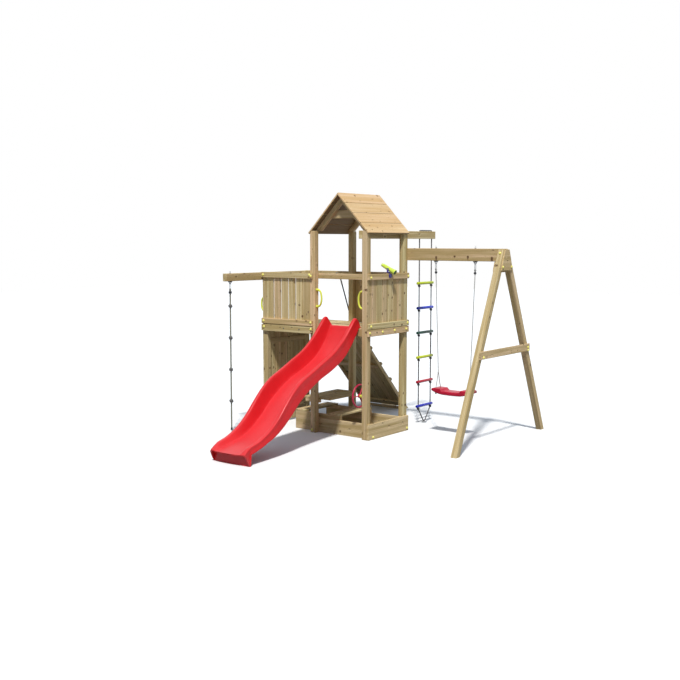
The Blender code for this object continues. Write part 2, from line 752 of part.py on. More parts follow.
# Slide: vertical sections along its run, each a moulded channel with rolled crests and skirts.
# The three lines give heights against the distance ahead of the posts' front faces.
SLIDE_BED_LINE = [
    (-0.100, 1.2420), (-0.066, 1.2415), (-0.030, 1.185), (0.070, 1.055), (0.200, 0.930), (0.400, 0.820),
    (0.620, 0.733), (0.800, 0.640), (0.960, 0.530), (1.110, 0.397), (1.250, 0.290), (1.400, 0.213),
    (1.600, 0.158), (1.800, 0.118),
]
SLIDE_CREST_LINE = [
    (-0.100, 1.268), (-0.084, 1.300), (-0.060, 1.330), (-0.034, 1.340), (0.020, 1.298), (0.090, 1.222),
    (0.200, 1.113), (0.360, 0.998), (0.550, 0.907), (0.720, 0.828), (0.900, 0.747), (1.020, 0.662),
    (1.140, 0.548), (1.270, 0.410), (1.400, 0.305), (1.550, 0.228), (1.700, 0.182), (1.800, 0.124),
]
SLIDE_SKIRT_LINE = [
    (-0.100, 1.2324), (-0.066, 1.2324), (-0.040, 1.195), (0.000, 1.139), (0.100, 1.042), (0.208, 0.975),
    (0.358, 0.890), (0.506, 0.812), (0.642, 0.755), (0.791, 0.682), (0.890, 0.616), (0.987, 0.535),
    (1.098, 0.443), (1.177, 0.372), (1.254, 0.308), (1.354, 0.243), (1.481, 0.180), (1.599, 0.140),
    (1.715, 0.112), (1.800, 0.106),
]


# Half of a section across the slide: the line that each point is measured from, its offset
# outwards from that line, and its share of the crest's rise above the bed.
SLIDE_UPPER_SECTION = [
    ("middle", 0.000, 0.00), ("bed", -0.085, 0.00), ("bed", -0.022, 0.02), ("bed", -0.004, 0.11),
    ("bed", 0.009, 0.30), ("crest", -0.017, 0.70), ("crest", -0.008, 0.91), ("crest", 0.000, 1.00),
    ("side", -SLIDE_CREST_INSET, 1.00), ("side", -0.003, 0.89), ("side", 0.000, 0.735),
]
SLIDE_LOWER_SECTION = [
    ("side", -SLIDE_WALL, 0.735), ("side", -0.016, 1.00), ("crest", 0.004, 1.00), ("crest", 0.000, 0.80),
    ("bed", 0.018, 0.28), ("bed", 0.006, 0.01), ("bed", -0.085, 0.00), ("middle", 0.000, 0.00),
]
SLIDE_SLOPE_STEP = 0.010


def slide_section(ahead, on_ground):
    bed = spline_value(SLIDE_BED_LINE, ahead)
    crest = max(spline_value(SLIDE_CREST_LINE, ahead), bed + SLIDE_LEAST_RISE)
    skirt = min(spline_value(SLIDE_SKIRT_LINE, ahead), bed - SLIDE_LEAST_EDGE)
    behind = spline_value(SLIDE_BED_LINE, ahead - SLIDE_SLOPE_STEP)
    beyond = spline_value(SLIDE_BED_LINE, ahead + SLIDE_SLOPE_STEP)
    wall = SLIDE_WALL * math.hypot(1, (behind - beyond) / (2 * SLIDE_SLOPE_STEP))
    lines = {
        "middle": 0.0,
        "bed": SLIDE_BED_HALF_WIDTH,
        "crest": SLIDE_HALF_WIDTH - SLIDE_CREST_INSET - SLIDE_CREST_WIDTH,
        "side": SLIDE_HALF_WIDTH,
    }
    rise = crest - bed
    upper = [(lines[line] + out, bed + share * rise) for line, out, share in SLIDE_UPPER_SECTION]
    lower = [(lines[line] + out, bed + share * rise - wall) for line, out, share in SLIDE_LOWER_SECTION]
    upper.append((SLIDE_HALF_WIDTH, skirt))
    side, edge = lower[0]
    lower[0] = (side, max(edge, skirt + SLIDE_LEAST_EDGE / 2))
    lower.insert(0, (side, skirt))
    if on_ground:
        lower = [(x, 0.0) for x, _ in lower]
        upper[-1] = (SLIDE_HALF_WIDTH, 0.0)
    return upper, lower


def slide_stations():
    start = -SLIDE_LIP_ON_DECK
    lip = SLIDE_FOOT_START + SLIDE_FOOT_THICKNESS
    fine_top = [start, -0.090, -0.078, -0.066, -0.052, -0.034, -0.010]
    count = round(SLIDE_FOOT_START / SLIDE_STATION_STEP)
    run = [SLIDE_FOOT_START * k / count + 0.02 * (1 - k / count) for k in range(count + 1)]
    tip = [(lip, False), (lip + 0.025, False), (SLIDE_REACH - 0.010, False), (SLIDE_REACH, False)]
    stations = [(at, False) for at in fine_top + run]
    return stations + [(SLIDE_FOOT_START, True), (lip, True)] + tip


def make_slide():
    bm = bmesh.new()
    rings = []
    for ahead, on_ground in slide_stations():
        upper, lower = slide_section(ahead, on_ground)
        near_tip = max(0.0, (ahead - SLIDE_FOOT_START) / (SLIDE_REACH - SLIDE_FOOT_START))
        bow = SLIDE_LIP_BOW * near_tip ** 2
        ring = []
        points = [(-x, z) for x, z in reversed(upper[1:])] + upper + lower
        points += [(-x, z) for x, z in reversed(lower[:-1])]
        for x, z in points:
            y = -ahead + bow * (x / SLIDE_HALF_WIDTH) ** 2
            ring.append(bm.verts.new((x, y, z)))
        rings.append(ring)
    count = len(rings[0])
    for ring, following in zip(rings, rings[1:]):
        for i in range(count):
            j = (i + 1) % count
            corners = [ring[i], ring[j], following[j], following[i]]
            bm.faces.new(corners)
    bm.faces.new(rings[0])
    bm.faces.new(rings[-1])
    bmesh.ops.remove_doubles(bm, verts=bm.verts, dist=0.00005)
    bmesh.ops.triangulate(bm, faces=bm.faces)
    slide = add_object(
        "slide", mesh_from(bm, "slide"), SLIDE_RED, (RIGHT - SLIDE_MIDDLE, FRONT, 0),
    )
    smooth_rounds(slide)
    return slide


# Ramp: a stringer each side, ties between them, boards along the slope and cleats across
def ramp_height(y):
    return RAMP_SLOPE * (REAR + RAMP_FOOT - y)


RAMP_ANGLE = math.atan(RAMP_SLOPE)
RAMP_TOP = REAR + GAP + JOIST_THICKNESS + GAP
RAMP_RIGHT = LEFT - RAMP_INSET
RAMP_LEFT = ANNEX_LEFT + RAMP_LEFT_INSET


def on_ramp(distance, above):
    crown = REAR + RAMP_FOOT - DECK_HEIGHT / RAMP_SLOPE
    y = crown + distance * math.cos(RAMP_ANGLE) + above * math.sin(RAMP_ANGLE)
    z = DECK_HEIGHT - distance * math.sin(RAMP_ANGLE) + above * math.cos(RAMP_ANGLE)
    return y, z


def make_ramp():
    foot = REAR + RAMP_FOOT
    deep = RAMP_STRINGER_DEPTH / math.sin(RAMP_ANGLE)
    crown = foot - DECK_HEIGHT / RAMP_SLOPE
    stringer_outline = [
        (RAMP_TOP, DECK_HEIGHT), (crown, DECK_HEIGHT), (foot, 0.0), (foot - deep, 0.0),
        (RAMP_TOP, ramp_height(RAMP_TOP + deep)),
    ]
    pieces = []
    for x in (RAMP_RIGHT - RAMP_STRINGER / 2, RAMP_LEFT + RAMP_STRINGER / 2):
        mesh = mesh_from(extrusion(stringer_outline, "X", RAMP_STRINGER), "stringer")
        pieces.append(add_object("stringer", mesh, PINE, (x, 0, 0)))
    inside = (RAMP_RIGHT - RAMP_LEFT) - 2 * RAMP_STRINGER
    middle = (RAMP_RIGHT + RAMP_LEFT) / 2
    slope_length = DECK_HEIGHT / math.sin(RAMP_ANGLE)
    tie_depth = RAMP_STRINGER_DEPTH - RAMP_BOARD - RAMP_TIE_CLEARANCE
    for k in range(RAMP_TIES):
        distance = RAMP_TIE_START + k * RAMP_TIE_PITCH
        y, z = on_ramp(distance, LET_IN - RAMP_BOARD - tie_depth / 2)
        tie = timber(
            "tie", (-inside / 2 - LET_IN, -RAMP_TIE_WIDTH / 2, -tie_depth / 2),
            (inside / 2 + LET_IN, RAMP_TIE_WIDTH / 2, tie_depth / 2), PINE, BOARD_CHAMFER,
        )
        tie.location = (middle, y, z)
        tie.rotation_euler = (-RAMP_ANGLE, 0, 0)
        pieces.append(tie)
    tie_start = foot - deep - FOOT_TIE_BEFORE
    pieces.append(timber(
        "foot tie", (RAMP_LEFT + RAMP_STRINGER - LET_IN, tie_start, 0),
        (RAMP_RIGHT - RAMP_STRINGER + LET_IN, foot - deep + FOOT_TIE_AFTER, FOOT_TIE_THICKNESS),
        PINE, BOARD_CHAMFER,
    ))
    pieces.append(timber(
        "anchor tongue", (middle - TONGUE_WIDTH / 2, tie_start + TONGUE_SETBACK, 0),
        (middle + TONGUE_WIDTH / 2, REAR + RAMP_REACH, TONGUE_THICKNESS), PINE, BOARD_CHAMFER,
    ))
    join_pieces("ramp_frame", pieces)

    board = (inside - 2 * GAP) / RAMP_BOARDS
    half = inside / 2 - GAP
    top = [(-half, 0.0)]
    for k in range(1, RAMP_BOARDS):
        joint = -half + k * board
        top += [(joint - RAMP_GROOVE, 0.0), (joint, -RAMP_GROOVE), (joint + RAMP_GROOVE, 0.0)]
    top.append((half, 0.0))
    outline = top + [(half, -RAMP_BOARD), (-half, -RAMP_BOARD)]
    board_length = slope_length - RAMP_DECK_END_CLEARANCE / math.sin(RAMP_ANGLE)
    boards = add_object(
        "ramp_deck", mesh_from(extrusion(outline, "Y", board_length), "ramp_deck"), PINE,
    )
    y, z = on_ramp(board_length / 2 + RAMP_DECK_START, GAP + LET_IN)
    boards.location = (middle, y, z)
    boards.rotation_euler = (-RAMP_ANGLE, 0, 0)
    cleats = [boards]
    for k in range(RAMP_CLEATS):
        distance = RAMP_CLEAT_START + k * RAMP_CLEAT_PITCH / math.cos(RAMP_ANGLE)
        y, z = on_ramp(distance, GAP + RAMP_CLEAT_HEIGHT / 2)
        cleat = timber(
            "cleat", (-inside / 2 - RAMP_STRINGER, -RAMP_CLEAT_WIDTH / 2, -RAMP_CLEAT_HEIGHT / 2),
            (inside / 2 + RAMP_STRINGER, RAMP_CLEAT_WIDTH / 2, RAMP_CLEAT_HEIGHT / 2), PINE,
        )
        cleat.location = (middle, y, z)
        cleat.rotation_euler = (-RAMP_ANGLE, 0, 0)
        cleats.append(cleat)
    join_pieces("ramp_deck", cleats)


# Ramp rope: knotted in front of the rear rail, out through it, then down on to the ramp.
# The hanging part is given as shares of its outreach and fall, and the knot in rope radii.
RAMP_ROPE_HANGING_LINE = [
    (0.033, 0.000), (0.097, 0.005), (0.144, 0.050), (0.218, 0.137), (0.385, 0.323), (0.590, 0.559),
    (0.795, 0.795), (1.000, 1.000),
]
RAMP_ROPE_KNOT = [(-4.00, 1.4), (-3.00, 2.1), (-1.33, 2.1), (-0.17, 1.0)]
RAMP_ROPE_END_SWELL = 1.9


def make_ramp_rope():
    x = LEFT - RAMP_ROPE_OFFSET
    height = TOP_RAIL_FOOT + RAIL_HEIGHT / 2
    clear = LADDER_ROPE_RADIUS + RAMP_CLEAT_HEIGHT + RAMP_ROPE_CLEARANCE
    route = [
        (x, REAR + out * RAMP_ROPE_OUTREACH, height - down * RAMP_ROPE_FALL)
        for out, down in RAMP_ROPE_HANGING_LINE
    ]
    for k in range(RAMP_ROPE_LYING_POINTS):
        route.append((x, *on_ramp(RAMP_ROPE_LYING_START + k * RAMP_ROPE_LYING_PITCH, clear)))
    points = [(x, REAR + back * LADDER_ROPE_RADIUS, height) for back, _ in RAMP_ROPE_KNOT]
    points += smooth_route(route, 3)
    factors = [swell for _, swell in RAMP_ROPE_KNOT]
    factors += [1.0] * (len(points) - len(factors))
    factors[-3] = RAMP_ROPE_END_SWELL
    factors[-2] = RAMP_ROPE_END_SWELL
    tube("ramp_rope", points, LADDER_ROPE_RADIUS, LADDER_ROPE_GREY, factors)


# Plank wall under the annex's left side, on two battens
def make_left_wall():
    x = ANNEX_LEFT + WALL_INSET
    top = FLOOR_FOOT - JOIST_HEIGHT - WALL_TOP_CLEARANCE
    plank = (INNER_REAR - INNER_FRONT + WALL_SPACING) / WALL_PLANKS
    pieces = []
    for height in (BATTEN_FROM_END, top - BATTEN_FROM_END):
        pieces.append(timber(
            "batten", (x + WALL_THICKNESS - LET_IN, INNER_FRONT, height),
            (x + WALL_THICKNESS + BATTEN_THICKNESS, INNER_REAR, height + BATTEN_HEIGHT),
            PINE, BOARD_CHAMFER,
        ))
    for i in range(WALL_PLANKS):
        y = INNER_FRONT + i * plank
        pieces.append(timber(
            "plank", (x, y, WALL_FOOT), (x + WALL_THICKNESS, y + plank - WALL_SPACING, top),
            PINE, BOARD_CHAMFER,
        ))
    join_pieces("wall_left", pieces)


# Hanging hook: a bolt up through a beam with its nut, a plate under it, and a U-shaped eye
def make_hook(name, x, y, beam_foot, beam_top):
    plate_top = beam_foot - GAP
    plate_foot = plate_top - PLATE_THICKNESS
    pivot = beam_foot - HOOK_DROP
    pieces = [cylinder("plate", (x, y, plate_foot), (x, y, plate_top), PLATE_RADIUS, STEEL, 16)]
    pieces.append(cylinder(
        "bolt", (x, y, plate_foot + LET_IN), (x, y, beam_top + BOLT_TIP), BOLT_RADIUS, STEEL, 12,
    ))
    pieces.append(cylinder(
        "nut", (x, y, beam_top + GAP), (x, y, beam_top + GAP + NUT_HEIGHT), NUT_RADIUS, STEEL, 6,
    ))
    legs_end = plate_foot + PLATE_THICKNESS / 2
    bend = pivot + EYE_HALF_WIDTH
    points = [(x - EYE_HALF_WIDTH, y, legs_end)]
    for k in range(9):
        angle = math.pi * k / 8
        points.append((x - EYE_HALF_WIDTH * math.cos(angle), y, bend - EYE_HALF_WIDTH * math.sin(angle)))
    points.append((x + EYE_HALF_WIDTH, y, legs_end))
    pieces.append(tube("eye", points, EYE_ROD, STEEL))
    hook = join_pieces(name, pieces)
    smooth_rounds(hook)
    return hook


# Oval link that rides on the eye: its origin is on the axis it turns about
def make_link(name, x, y, pivot):
    top = LINK_TOP_OFFSET
    foot = top - LINK_LENGTH
    points = []
    for k in range(LINK_POINTS):
        angle = 2 * math.pi * k / LINK_POINTS
        centre = top - LINK_HALF_WIDTH if math.sin(angle) >= -1e-9 else foot + LINK_HALF_WIDTH
        points.append((0, LINK_HALF_WIDTH * math.cos(angle), centre + LINK_HALF_WIDTH * math.sin(angle)))
    link = as_mesh(tube(name, points, LINK_ROD, STEEL, closed=True))
    link.data.transform(Matrix.Translation(Vector(points[0])))
    link.location = (x, y, pivot)
    smooth_rounds(link)
    return link


def link_foot(pivot):
    return pivot + LINK_TOP_OFFSET - LINK_LENGTH


def rope_ring(x, y, centre_height, rope_radius, material):
    ring_radius = LINK_ROD + GAP + rope_radius
    points = []
    for k in range(12):
        angle = 2 * math.pi * k / 12
        points.append((x + ring_radius * math.cos(angle), y, centre_height + ring_radius * math.sin(angle)))
    return tube("ring", points, rope_radius, material, closed=True)


# Swing ropes: a ring round the link, a knot, one rope, then two strands to the seat.
# A strand runs from its end under the seat up to the split: share of its spread, share of the
# height from its knot to the split, and swell of the rope.
STRAND_LINE = [
    (1.00, -0.051, 1.8), (1.00, 0.000, 2.3), (1.00, 0.043, 1.0), (0.98, 0.256, 1.0), (0.50, 0.585, 1.0),
    (0.14, 0.949, 1.0),
]


def make_swing_rope(name, side):
    top_x = RIGHT + SWING_MIDDLE + side * HOOK_HALF_SPACING
    foot_x = RIGHT + SWING_MIDDLE + side * STRAND_HALF_SPACING
    y = SWING_BEAM_MIDDLE
    ring_height = link_foot(SWING_PIVOT)
    start = ring_height - LINK_ROD - GAP - SWING_ROPE_RADIUS
    ring = rope_ring(top_x, y, ring_height, SWING_ROPE_RADIUS, SWING_ROPE_WHITE)
    rope_end = SWING_SPLIT_HEIGHT - 1.5 * SWING_ROPE_RADIUS
    points = []
    for k in range(SWING_ROPE_STEPS + 1):
        t = k / SWING_ROPE_STEPS
        points.append((top_x + (foot_x - top_x) * t, y, start + (rope_end - start) * t))
    factors = [1.0] * len(points)
    factors[1] = SWING_TOP_KNOT_SWELL
    factors[-1] = SWING_SPLIT_SWELL
    rope = tube("rope", points, SWING_ROPE_RADIUS, SWING_ROPE_WHITE, factors)
    below = seat_underside(side * STRAND_HALF_SPACING) - SEAT_KNOT_DROP
    strand = [
        (foot_x, y - spread * STRAND_HALF_DEPTH, below + share * (SWING_SPLIT_HEIGHT - below))
        for spread, share, _ in STRAND_LINE
    ]
    strand_factors = [swell for _, _, swell in STRAND_LINE]
    mirrored = [(px, 2 * y - py, pz) for px, py, pz in reversed(strand)]
    apex = [(foot_x, y, SWING_SPLIT_HEIGHT)]
    strands = tube(
        "strands", strand + apex + mirrored, SWING_ROPE_RADIUS, SWING_ROPE_WHITE,
        strand_factors + [1.0] + strand_factors[::-1],
    )
    whole = join_pieces(name, [rope, ring, strands])
    place_origin(whole, (top_x, y, SWING_PIVOT))
    smooth_rounds(whole)


def place_origin(obj, point):
    offset = Vector(point)
    obj.data.transform(Matrix.Translation(-offset) @ obj.matrix_basis)
    obj.rotation_euler = (0, 0, 0)
    obj.location = offset


# Seat: sections across its length, thin and upturned at the ends, with raised end blocks
SEAT_UNDERSIDE_LINE = [
    (0.00, 0.000), (0.40, 0.002), (0.62, 0.009), (0.84, 0.025), (1.00, 0.042),
]
SEAT_TOP_LINE = [
    (0.00, 0.043), (0.38, 0.045), (0.44, 0.048), (0.51, 0.068), (0.56, 0.071), (0.92, 0.071), (0.98, 0.067),
    (1.00, 0.060),
]

SEAT_STATIONS = [0.0, 0.20, 0.38, 0.44, 0.51, 0.56, 0.70, 0.84, 0.92, 0.98, 1.0]
SEAT_TAPER_START = 0.95


def seat_underside(x):
    return SEAT_BOTTOM + spline_value(SEAT_UNDERSIDE_LINE, min(abs(x) / (SEAT_LENGTH / 2), 1.0))


def make_seat():
    stations = [-share for share in reversed(SEAT_STATIONS[1:])] + SEAT_STATIONS
    bm = bmesh.new()
    rings = []
    for share in stations:
        foot = SEAT_BOTTOM + spline_value(SEAT_UNDERSIDE_LINE, abs(share))
        top = SEAT_BOTTOM + spline_value(SEAT_TOP_LINE, abs(share))
        half = SEAT_DEPTH / 2 * (1.0 if abs(share) < SEAT_TAPER_START else SEAT_END_TAPER)
        soft = min(SEAT_EDGE_ROUND, (top - foot) / 3)
        section = [
            (-half + soft, foot), (half - soft, foot), (half - 0.3 * soft, foot + 0.3 * soft),
            (half, foot + soft), (half, top - soft), (half - 0.3 * soft, top - 0.3 * soft),
            (half - soft, top), (0.0, top - SEAT_DISH), (-half + soft, top),
            (-half + 0.3 * soft, top - 0.3 * soft), (-half, top - soft), (-half, foot + soft),
            (-half + 0.3 * soft, foot + 0.3 * soft),
        ]
        rings.append([bm.verts.new((share * SEAT_LENGTH / 2, y, z)) for y, z in section])
    count = len(rings[0])
    for ring, following in zip(rings, rings[1:]):
        for i in range(count):
            j = (i + 1) % count
            bm.faces.new((ring[i], ring[j], following[j], following[i]))
    bm.faces.new(rings[0])
    bm.faces.new(rings[-1])
    seat = add_object(
        "seat", mesh_from(bm, "seat"), SEAT_RED, (RIGHT + SWING_MIDDLE, SWING_BEAM_MIDDLE, 0),
    )
    for side in (-1, 1):
        for depth in (-1, 1):
            x = RIGHT + SWING_MIDDLE + side * STRAND_HALF_SPACING
            y = SWING_BEAM_MIDDLE + depth * STRAND_HALF_DEPTH
            bore(
                seat, (x, y, SEAT_BOTTOM - 0.05), (x, y, SEAT_BOTTOM + 0.15),
                SWING_ROPE_RADIUS + ROPE_CLEARANCE, 12,
            )
    place_origin(seat, (RIGHT + SWING_MIDDLE, SWING_BEAM_MIDDLE, SWING_PIVOT))
    smooth_rounds(seat)


def make_swing():
    beam = timber(
        "swing_beam", (RIGHT - SWING_BEAM_LAP, SWING_BEAM_FRONT, SWING_BEAM_FOOT),
        (SWING_END, SWING_BEAM_FRONT + SWING_BEAM_WIDTH, SWING_BEAM_TOP), PINE,
    )
    for name, side in (("left", -1), ("right", 1)):
        x = RIGHT + SWING_MIDDLE + side * HOOK_HALF_SPACING
        bore(
            beam, (x, SWING_BEAM_MIDDLE, SWING_BEAM_FOOT - 0.05),
            (x, SWING_BEAM_MIDDLE, SWING_BEAM_TOP + 0.05), BOLT_RADIUS + 2 * GAP, 16,
        )
        make_hook(f"hook_{name}", x, SWING_BEAM_MIDDLE, SWING_BEAM_FOOT, SWING_BEAM_TOP)
        make_link(f"swing_link_{name}", x, SWING_BEAM_MIDDLE, SWING_PIVOT)
        make_swing_rope(f"swing_rope_{name}", side)
    make_seat()


# A-frame: two leaning legs cut to the beam's sides, a crossbar and a gusset on each face
def make_a_frame():
    inner_x = SWING_END - LEG
    for name, side in (("leg_front", -1), ("leg_rear", 1)):
        outer_foot = -LEG_SPREAD
        outer_top = outer_foot + LEG_LEAN * LEG_TOP
        face = -SWING_BEAM_WIDTH / 2 - GAP
        meets_beam = (face - outer_foot - LEG_HORIZONTAL_DEPTH) / LEG_LEAN
        outline = [
            (outer_foot, 0.0), (outer_foot + LEG_HORIZONTAL_DEPTH, 0.0),
            (face, meets_beam), (face, LEG_TOP), (outer_top, LEG_TOP),
        ]
        outline = [(-side * y, z) for y, z in outline]
        mesh = mesh_from(extrusion(outline, "X", LEG), name)
        leg = add_object(name, mesh, PINE, (inner_x + LEG / 2, SWING_BEAM_MIDDLE, 0))
        edges = leg.modifiers.new("Planed edges", "BEVEL")
        edges.width = BOARD_CHAMFER
        edges.segments = 1
        edges.limit_method = "ANGLE"
    outer_x = SWING_END + GAP + GUSSET_THICKNESS / 2
    timber(
        "crossbar", (SWING_END + GAP, SWING_BEAM_MIDDLE - CROSSBAR_LENGTH / 2, CROSSBAR_FOOT),
        (SWING_END + GUSSET_THICKNESS, SWING_BEAM_MIDDLE + CROSSBAR_LENGTH / 2,
         CROSSBAR_FOOT + CROSSBAR_HEIGHT), PINE, BOARD_CHAMFER,
    )
    gusset_slope = (GUSSET_FOOT_WIDTH - GUSSET_TOP_WIDTH) / 2 / (LEG_TOP - GUSSET_FOOT)
    inner_top = SWING_BEAM_FOOT - GAP
    inner_half = GUSSET_FOOT_WIDTH / 2 - gusset_slope * (inner_top - GUSSET_FOOT)
    for name, top, half, x, thickness in (
        ("gusset_outer", LEG_TOP, GUSSET_TOP_WIDTH / 2, outer_x, GUSSET_THICKNESS - GAP),
        ("gusset_inner", inner_top, inner_half, inner_x - GAP - GUSSET_THICKNESS / 2, GUSSET_THICKNESS),
    ):
        outline = [
            (-GUSSET_FOOT_WIDTH / 2, GUSSET_FOOT), (GUSSET_FOOT_WIDTH / 2, GUSSET_FOOT),
            (half, top), (-half, top),
        ]
        mesh = mesh_from(extrusion(outline, "X", thickness), name)
        plate = add_object(name, mesh, PINE, (x, SWING_BEAM_MIDDLE, 0))
        edges = plate.modifiers.new("Planed edges", "BEVEL")
        edges.width = BOARD_CHAMFER
        edges.segments = 1
        edges.limit_method = "ANGLE"


# Rope ladder: one rope up through the rungs and the beam, across its top and down again.
# The bends are given as the way from the ladder's middle and the rise above the anchor, and as
# the way in from the rope's own line and the rise above the beam.
LADDER_FOOT_BEND = [(0.010, 0.001), (0.020, 0.006), (0.030, 0.018)]
LADDER_TOP_BEND = [(0.000, -0.011), (0.003, -0.003), (0.010, 0.000)]


def make_ladder():
    x = RIGHT - POST - GAP - LADDER_BEAM_WIDTH / 2
    beam_foot = TOWER_POST_HEIGHT - LADDER_BEAM_HEIGHT
    beam = timber(
        "ladder_beam", (x - LADDER_BEAM_WIDTH / 2, FRONT, beam_foot),
        (x + LADDER_BEAM_WIDTH / 2, FRONT + LADDER_BEAM_REACH, TOWER_POST_HEIGHT), PINE,
    )
    middle = FRONT + LADDER_REACH
    hole = LADDER_ROPE_RADIUS + ROPE_CLEARANCE
    for side in (-1, 1):
        y = middle + side * LADDER_ROPE_HALF_SPACING
        bore(beam, (x, y, beam_foot - 0.05), (x, y, TOWER_POST_HEIGHT + 0.05), hole, 12)
    rung_heights = [TOP_RUNG_HEIGHT - k * RUNG_PITCH for k in range(RUNG_COUNT)]
    for k, height in enumerate(rung_heights):
        rung = cylinder(
            f"rung_{k + 1}", (x, middle - RUNG_LENGTH / 2, height), (x, middle + RUNG_LENGTH / 2, height),
            RUNG_RADIUS, RUNG_MATERIALS[k], 14,
        )
        for side in (-1, 1):
            y = middle + side * LADDER_ROPE_HALF_SPACING
            bore(rung, (x, y, height - 0.05), (x, y, height + 0.05), hole, 12)
        smooth_rounds(rung)
    rope_foot = ANCHOR_HEIGHT + PEG_HEIGHT + GAP + LADDER_ROPE_RADIUS
    over = TOWER_POST_HEIGHT + LADDER_ROPE_RADIUS + LADDER_ROPE_RISE
    half = LADDER_ROPE_HALF_SPACING
    points = [(x, middle - away, rope_foot + rise) for away, rise in LADDER_FOOT_BEND]
    factors = [1.0] * len(points)
    for height in reversed(rung_heights):
        below = height - RUNG_RADIUS - RUNG_KNOT_DROP
        for z in (below - RUNG_KNOT_REACH, below, below + 0.8 * RUNG_KNOT_REACH):
            points.append((x, middle - half, z))
        factors += [1.0, RUNG_KNOT_SWELL, 1.0]
    points += [(x, middle - half + inward, over + rise) for inward, rise in LADDER_TOP_BEND]
    factors += [1.0] * len(LADDER_TOP_BEND)
    points += [(px, 2 * middle - py, pz) for px, py, pz in reversed(points)]
    factors += factors[::-1]
    points.append((x, middle, rope_foot))
    factors.append(1.0)
    tube("ladder_rope", points, LADDER_ROPE_RADIUS, LADDER_ROPE_GREY, factors, closed=True)
    plate = cylinder("plate", (x, middle, 0.0), (x, middle, ANCHOR_HEIGHT), ANCHOR_RADIUS, STEEL, 20)
    peg = cylinder(
        "peg", (x, middle, ANCHOR_HEIGHT - LET_IN), (x, middle, ANCHOR_HEIGHT + PEG_HEIGHT),
        PEG_RADIUS, STEEL, 12,
    )
    anchor = join_pieces("ladder_anchor", [plate, peg])
    smooth_rounds(anchor)


# Climbing rope with its beam, hook, link and knots. Each knot is given as the height above its
# middle and the share of its full swell, and the knot at the top as a drop and a swell.
CLIMB_TOP_KNOT = [(0.000, 0.9), (0.016, 1.7), (0.034, 1.6), (0.050, 1.0)]
CLIMB_KNOT = [
    (0.100, 0.00), (0.022, 0.00), (0.012, 0.71), (0.000, 1.00), (-0.012, 0.71), (-0.022, 0.00),
    (-0.160, 0.00),
]


def make_climbing_rope():
    beam_top = ROPE_BEAM_FOOT + ROPE_BEAM_HEIGHT
    beam = timber(
        "rope_beam", (ANNEX_LEFT - GAP - ROPE_BEAM_WIDTH, FRONT - ROPE_BEAM_REACH, ROPE_BEAM_FOOT),
        (ANNEX_LEFT - GAP, REAR, beam_top), PINE,
    )
    bore(
        beam, (CLIMB_ROPE_X, CLIMB_ROPE_Y, ROPE_BEAM_FOOT - 0.05),
        (CLIMB_ROPE_X, CLIMB_ROPE_Y, beam_top + 0.05), BOLT_RADIUS + 2 * GAP, 16,
    )
    make_hook("climb_hook", CLIMB_ROPE_X, CLIMB_ROPE_Y, ROPE_BEAM_FOOT, beam_top)
    make_link("climb_link", CLIMB_ROPE_X, CLIMB_ROPE_Y, CLIMB_PIVOT)
    ring_height = link_foot(CLIMB_PIVOT)
    ring_rod = LADDER_ROPE_RADIUS
    ring = rope_ring(CLIMB_ROPE_X, CLIMB_ROPE_Y, ring_height, ring_rod, CLIMB_ROPE_GREY)
    start = ring_height - LINK_ROD - GAP - ring_rod
    swell = KNOT_RADIUS / CLIMB_ROPE_RADIUS
    pitch = (start - TOP_KNOT_DROP - LOW_KNOT_RISE - CLIMB_ROPE_END) / (KNOT_COUNT - 1)
    heights = [start - drop for drop, _ in CLIMB_TOP_KNOT]
    factors = [factor for _, factor in CLIMB_TOP_KNOT]
    for k in range(KNOT_COUNT):
        knot = start - TOP_KNOT_DROP - k * pitch
        heights += [knot + above for above, _ in CLIMB_KNOT]
        factors += [1.0 + share * (swell - 1.0) for _, share in CLIMB_KNOT]
    whipping = CLIMB_ROPE_END + WHIPPING_LENGTH
    heights += [whipping + CLIMB_ROPE_RADIUS, whipping, CLIMB_ROPE_END]
    factors += [1.0, WHIPPING_SWELL, WHIPPING_SWELL]
    points = [(CLIMB_ROPE_X, CLIMB_ROPE_Y, z) for z in heights]
    rope = tube("rope", points, CLIMB_ROPE_RADIUS, CLIMB_ROPE_GREY, factors)
    whole = join_pieces("climb_rope", [rope, ring])
    place_origin(whole, (CLIMB_ROPE_X, CLIMB_ROPE_Y, ring_height))
    smooth_rounds(whole)


# Grab handle: a loop of rod standing off a post's face, with a foot at each end
def make_handle(name, face_x, y, foot, height, reach, side):
    start = face_x + side * GAP
    bend = HANDLE_BEND_SHARE * reach
    route = [(start, y, foot), (start + side * (reach - bend), y, foot)]
    for k in range(1, 5):
        angle = math.pi / 2 * k / 4
        route.append((
            start + side * (reach - bend + bend * math.sin(angle)), y, foot + bend * (1 - math.cos(angle)),
        ))
    mirrored = [(px, py, 2 * foot + height - pz) for px, py, pz in reversed(route)]
    points = route + mirrored
    factors = [HANDLE_FOOT_SWELL] + [1.0] * (len(points) - 2) + [HANDLE_FOOT_SWELL]
    handle = as_mesh(tube(name, points, HANDLE_ROD, HANDLE_YELLOW, factors))
    smooth_rounds(handle)


def make_handles():
    middle = FRONT + POST / 2
    for name, face, side in (
        ("handle_slide_left", LEFT + POST, 1), ("handle_slide_right", RIGHT - POST, -1),
    ):
        make_handle(name, face, middle, SLIDE_HANDLE_FOOT, HANDLE_HEIGHT, HANDLE_REACH, side)
    make_handle(
        "handle_wall_front", ANNEX_LEFT, middle, WALL_HANDLE_FOOT, WALL_HANDLE_HEIGHT,
        WALL_HANDLE_REACH, -1,
    )


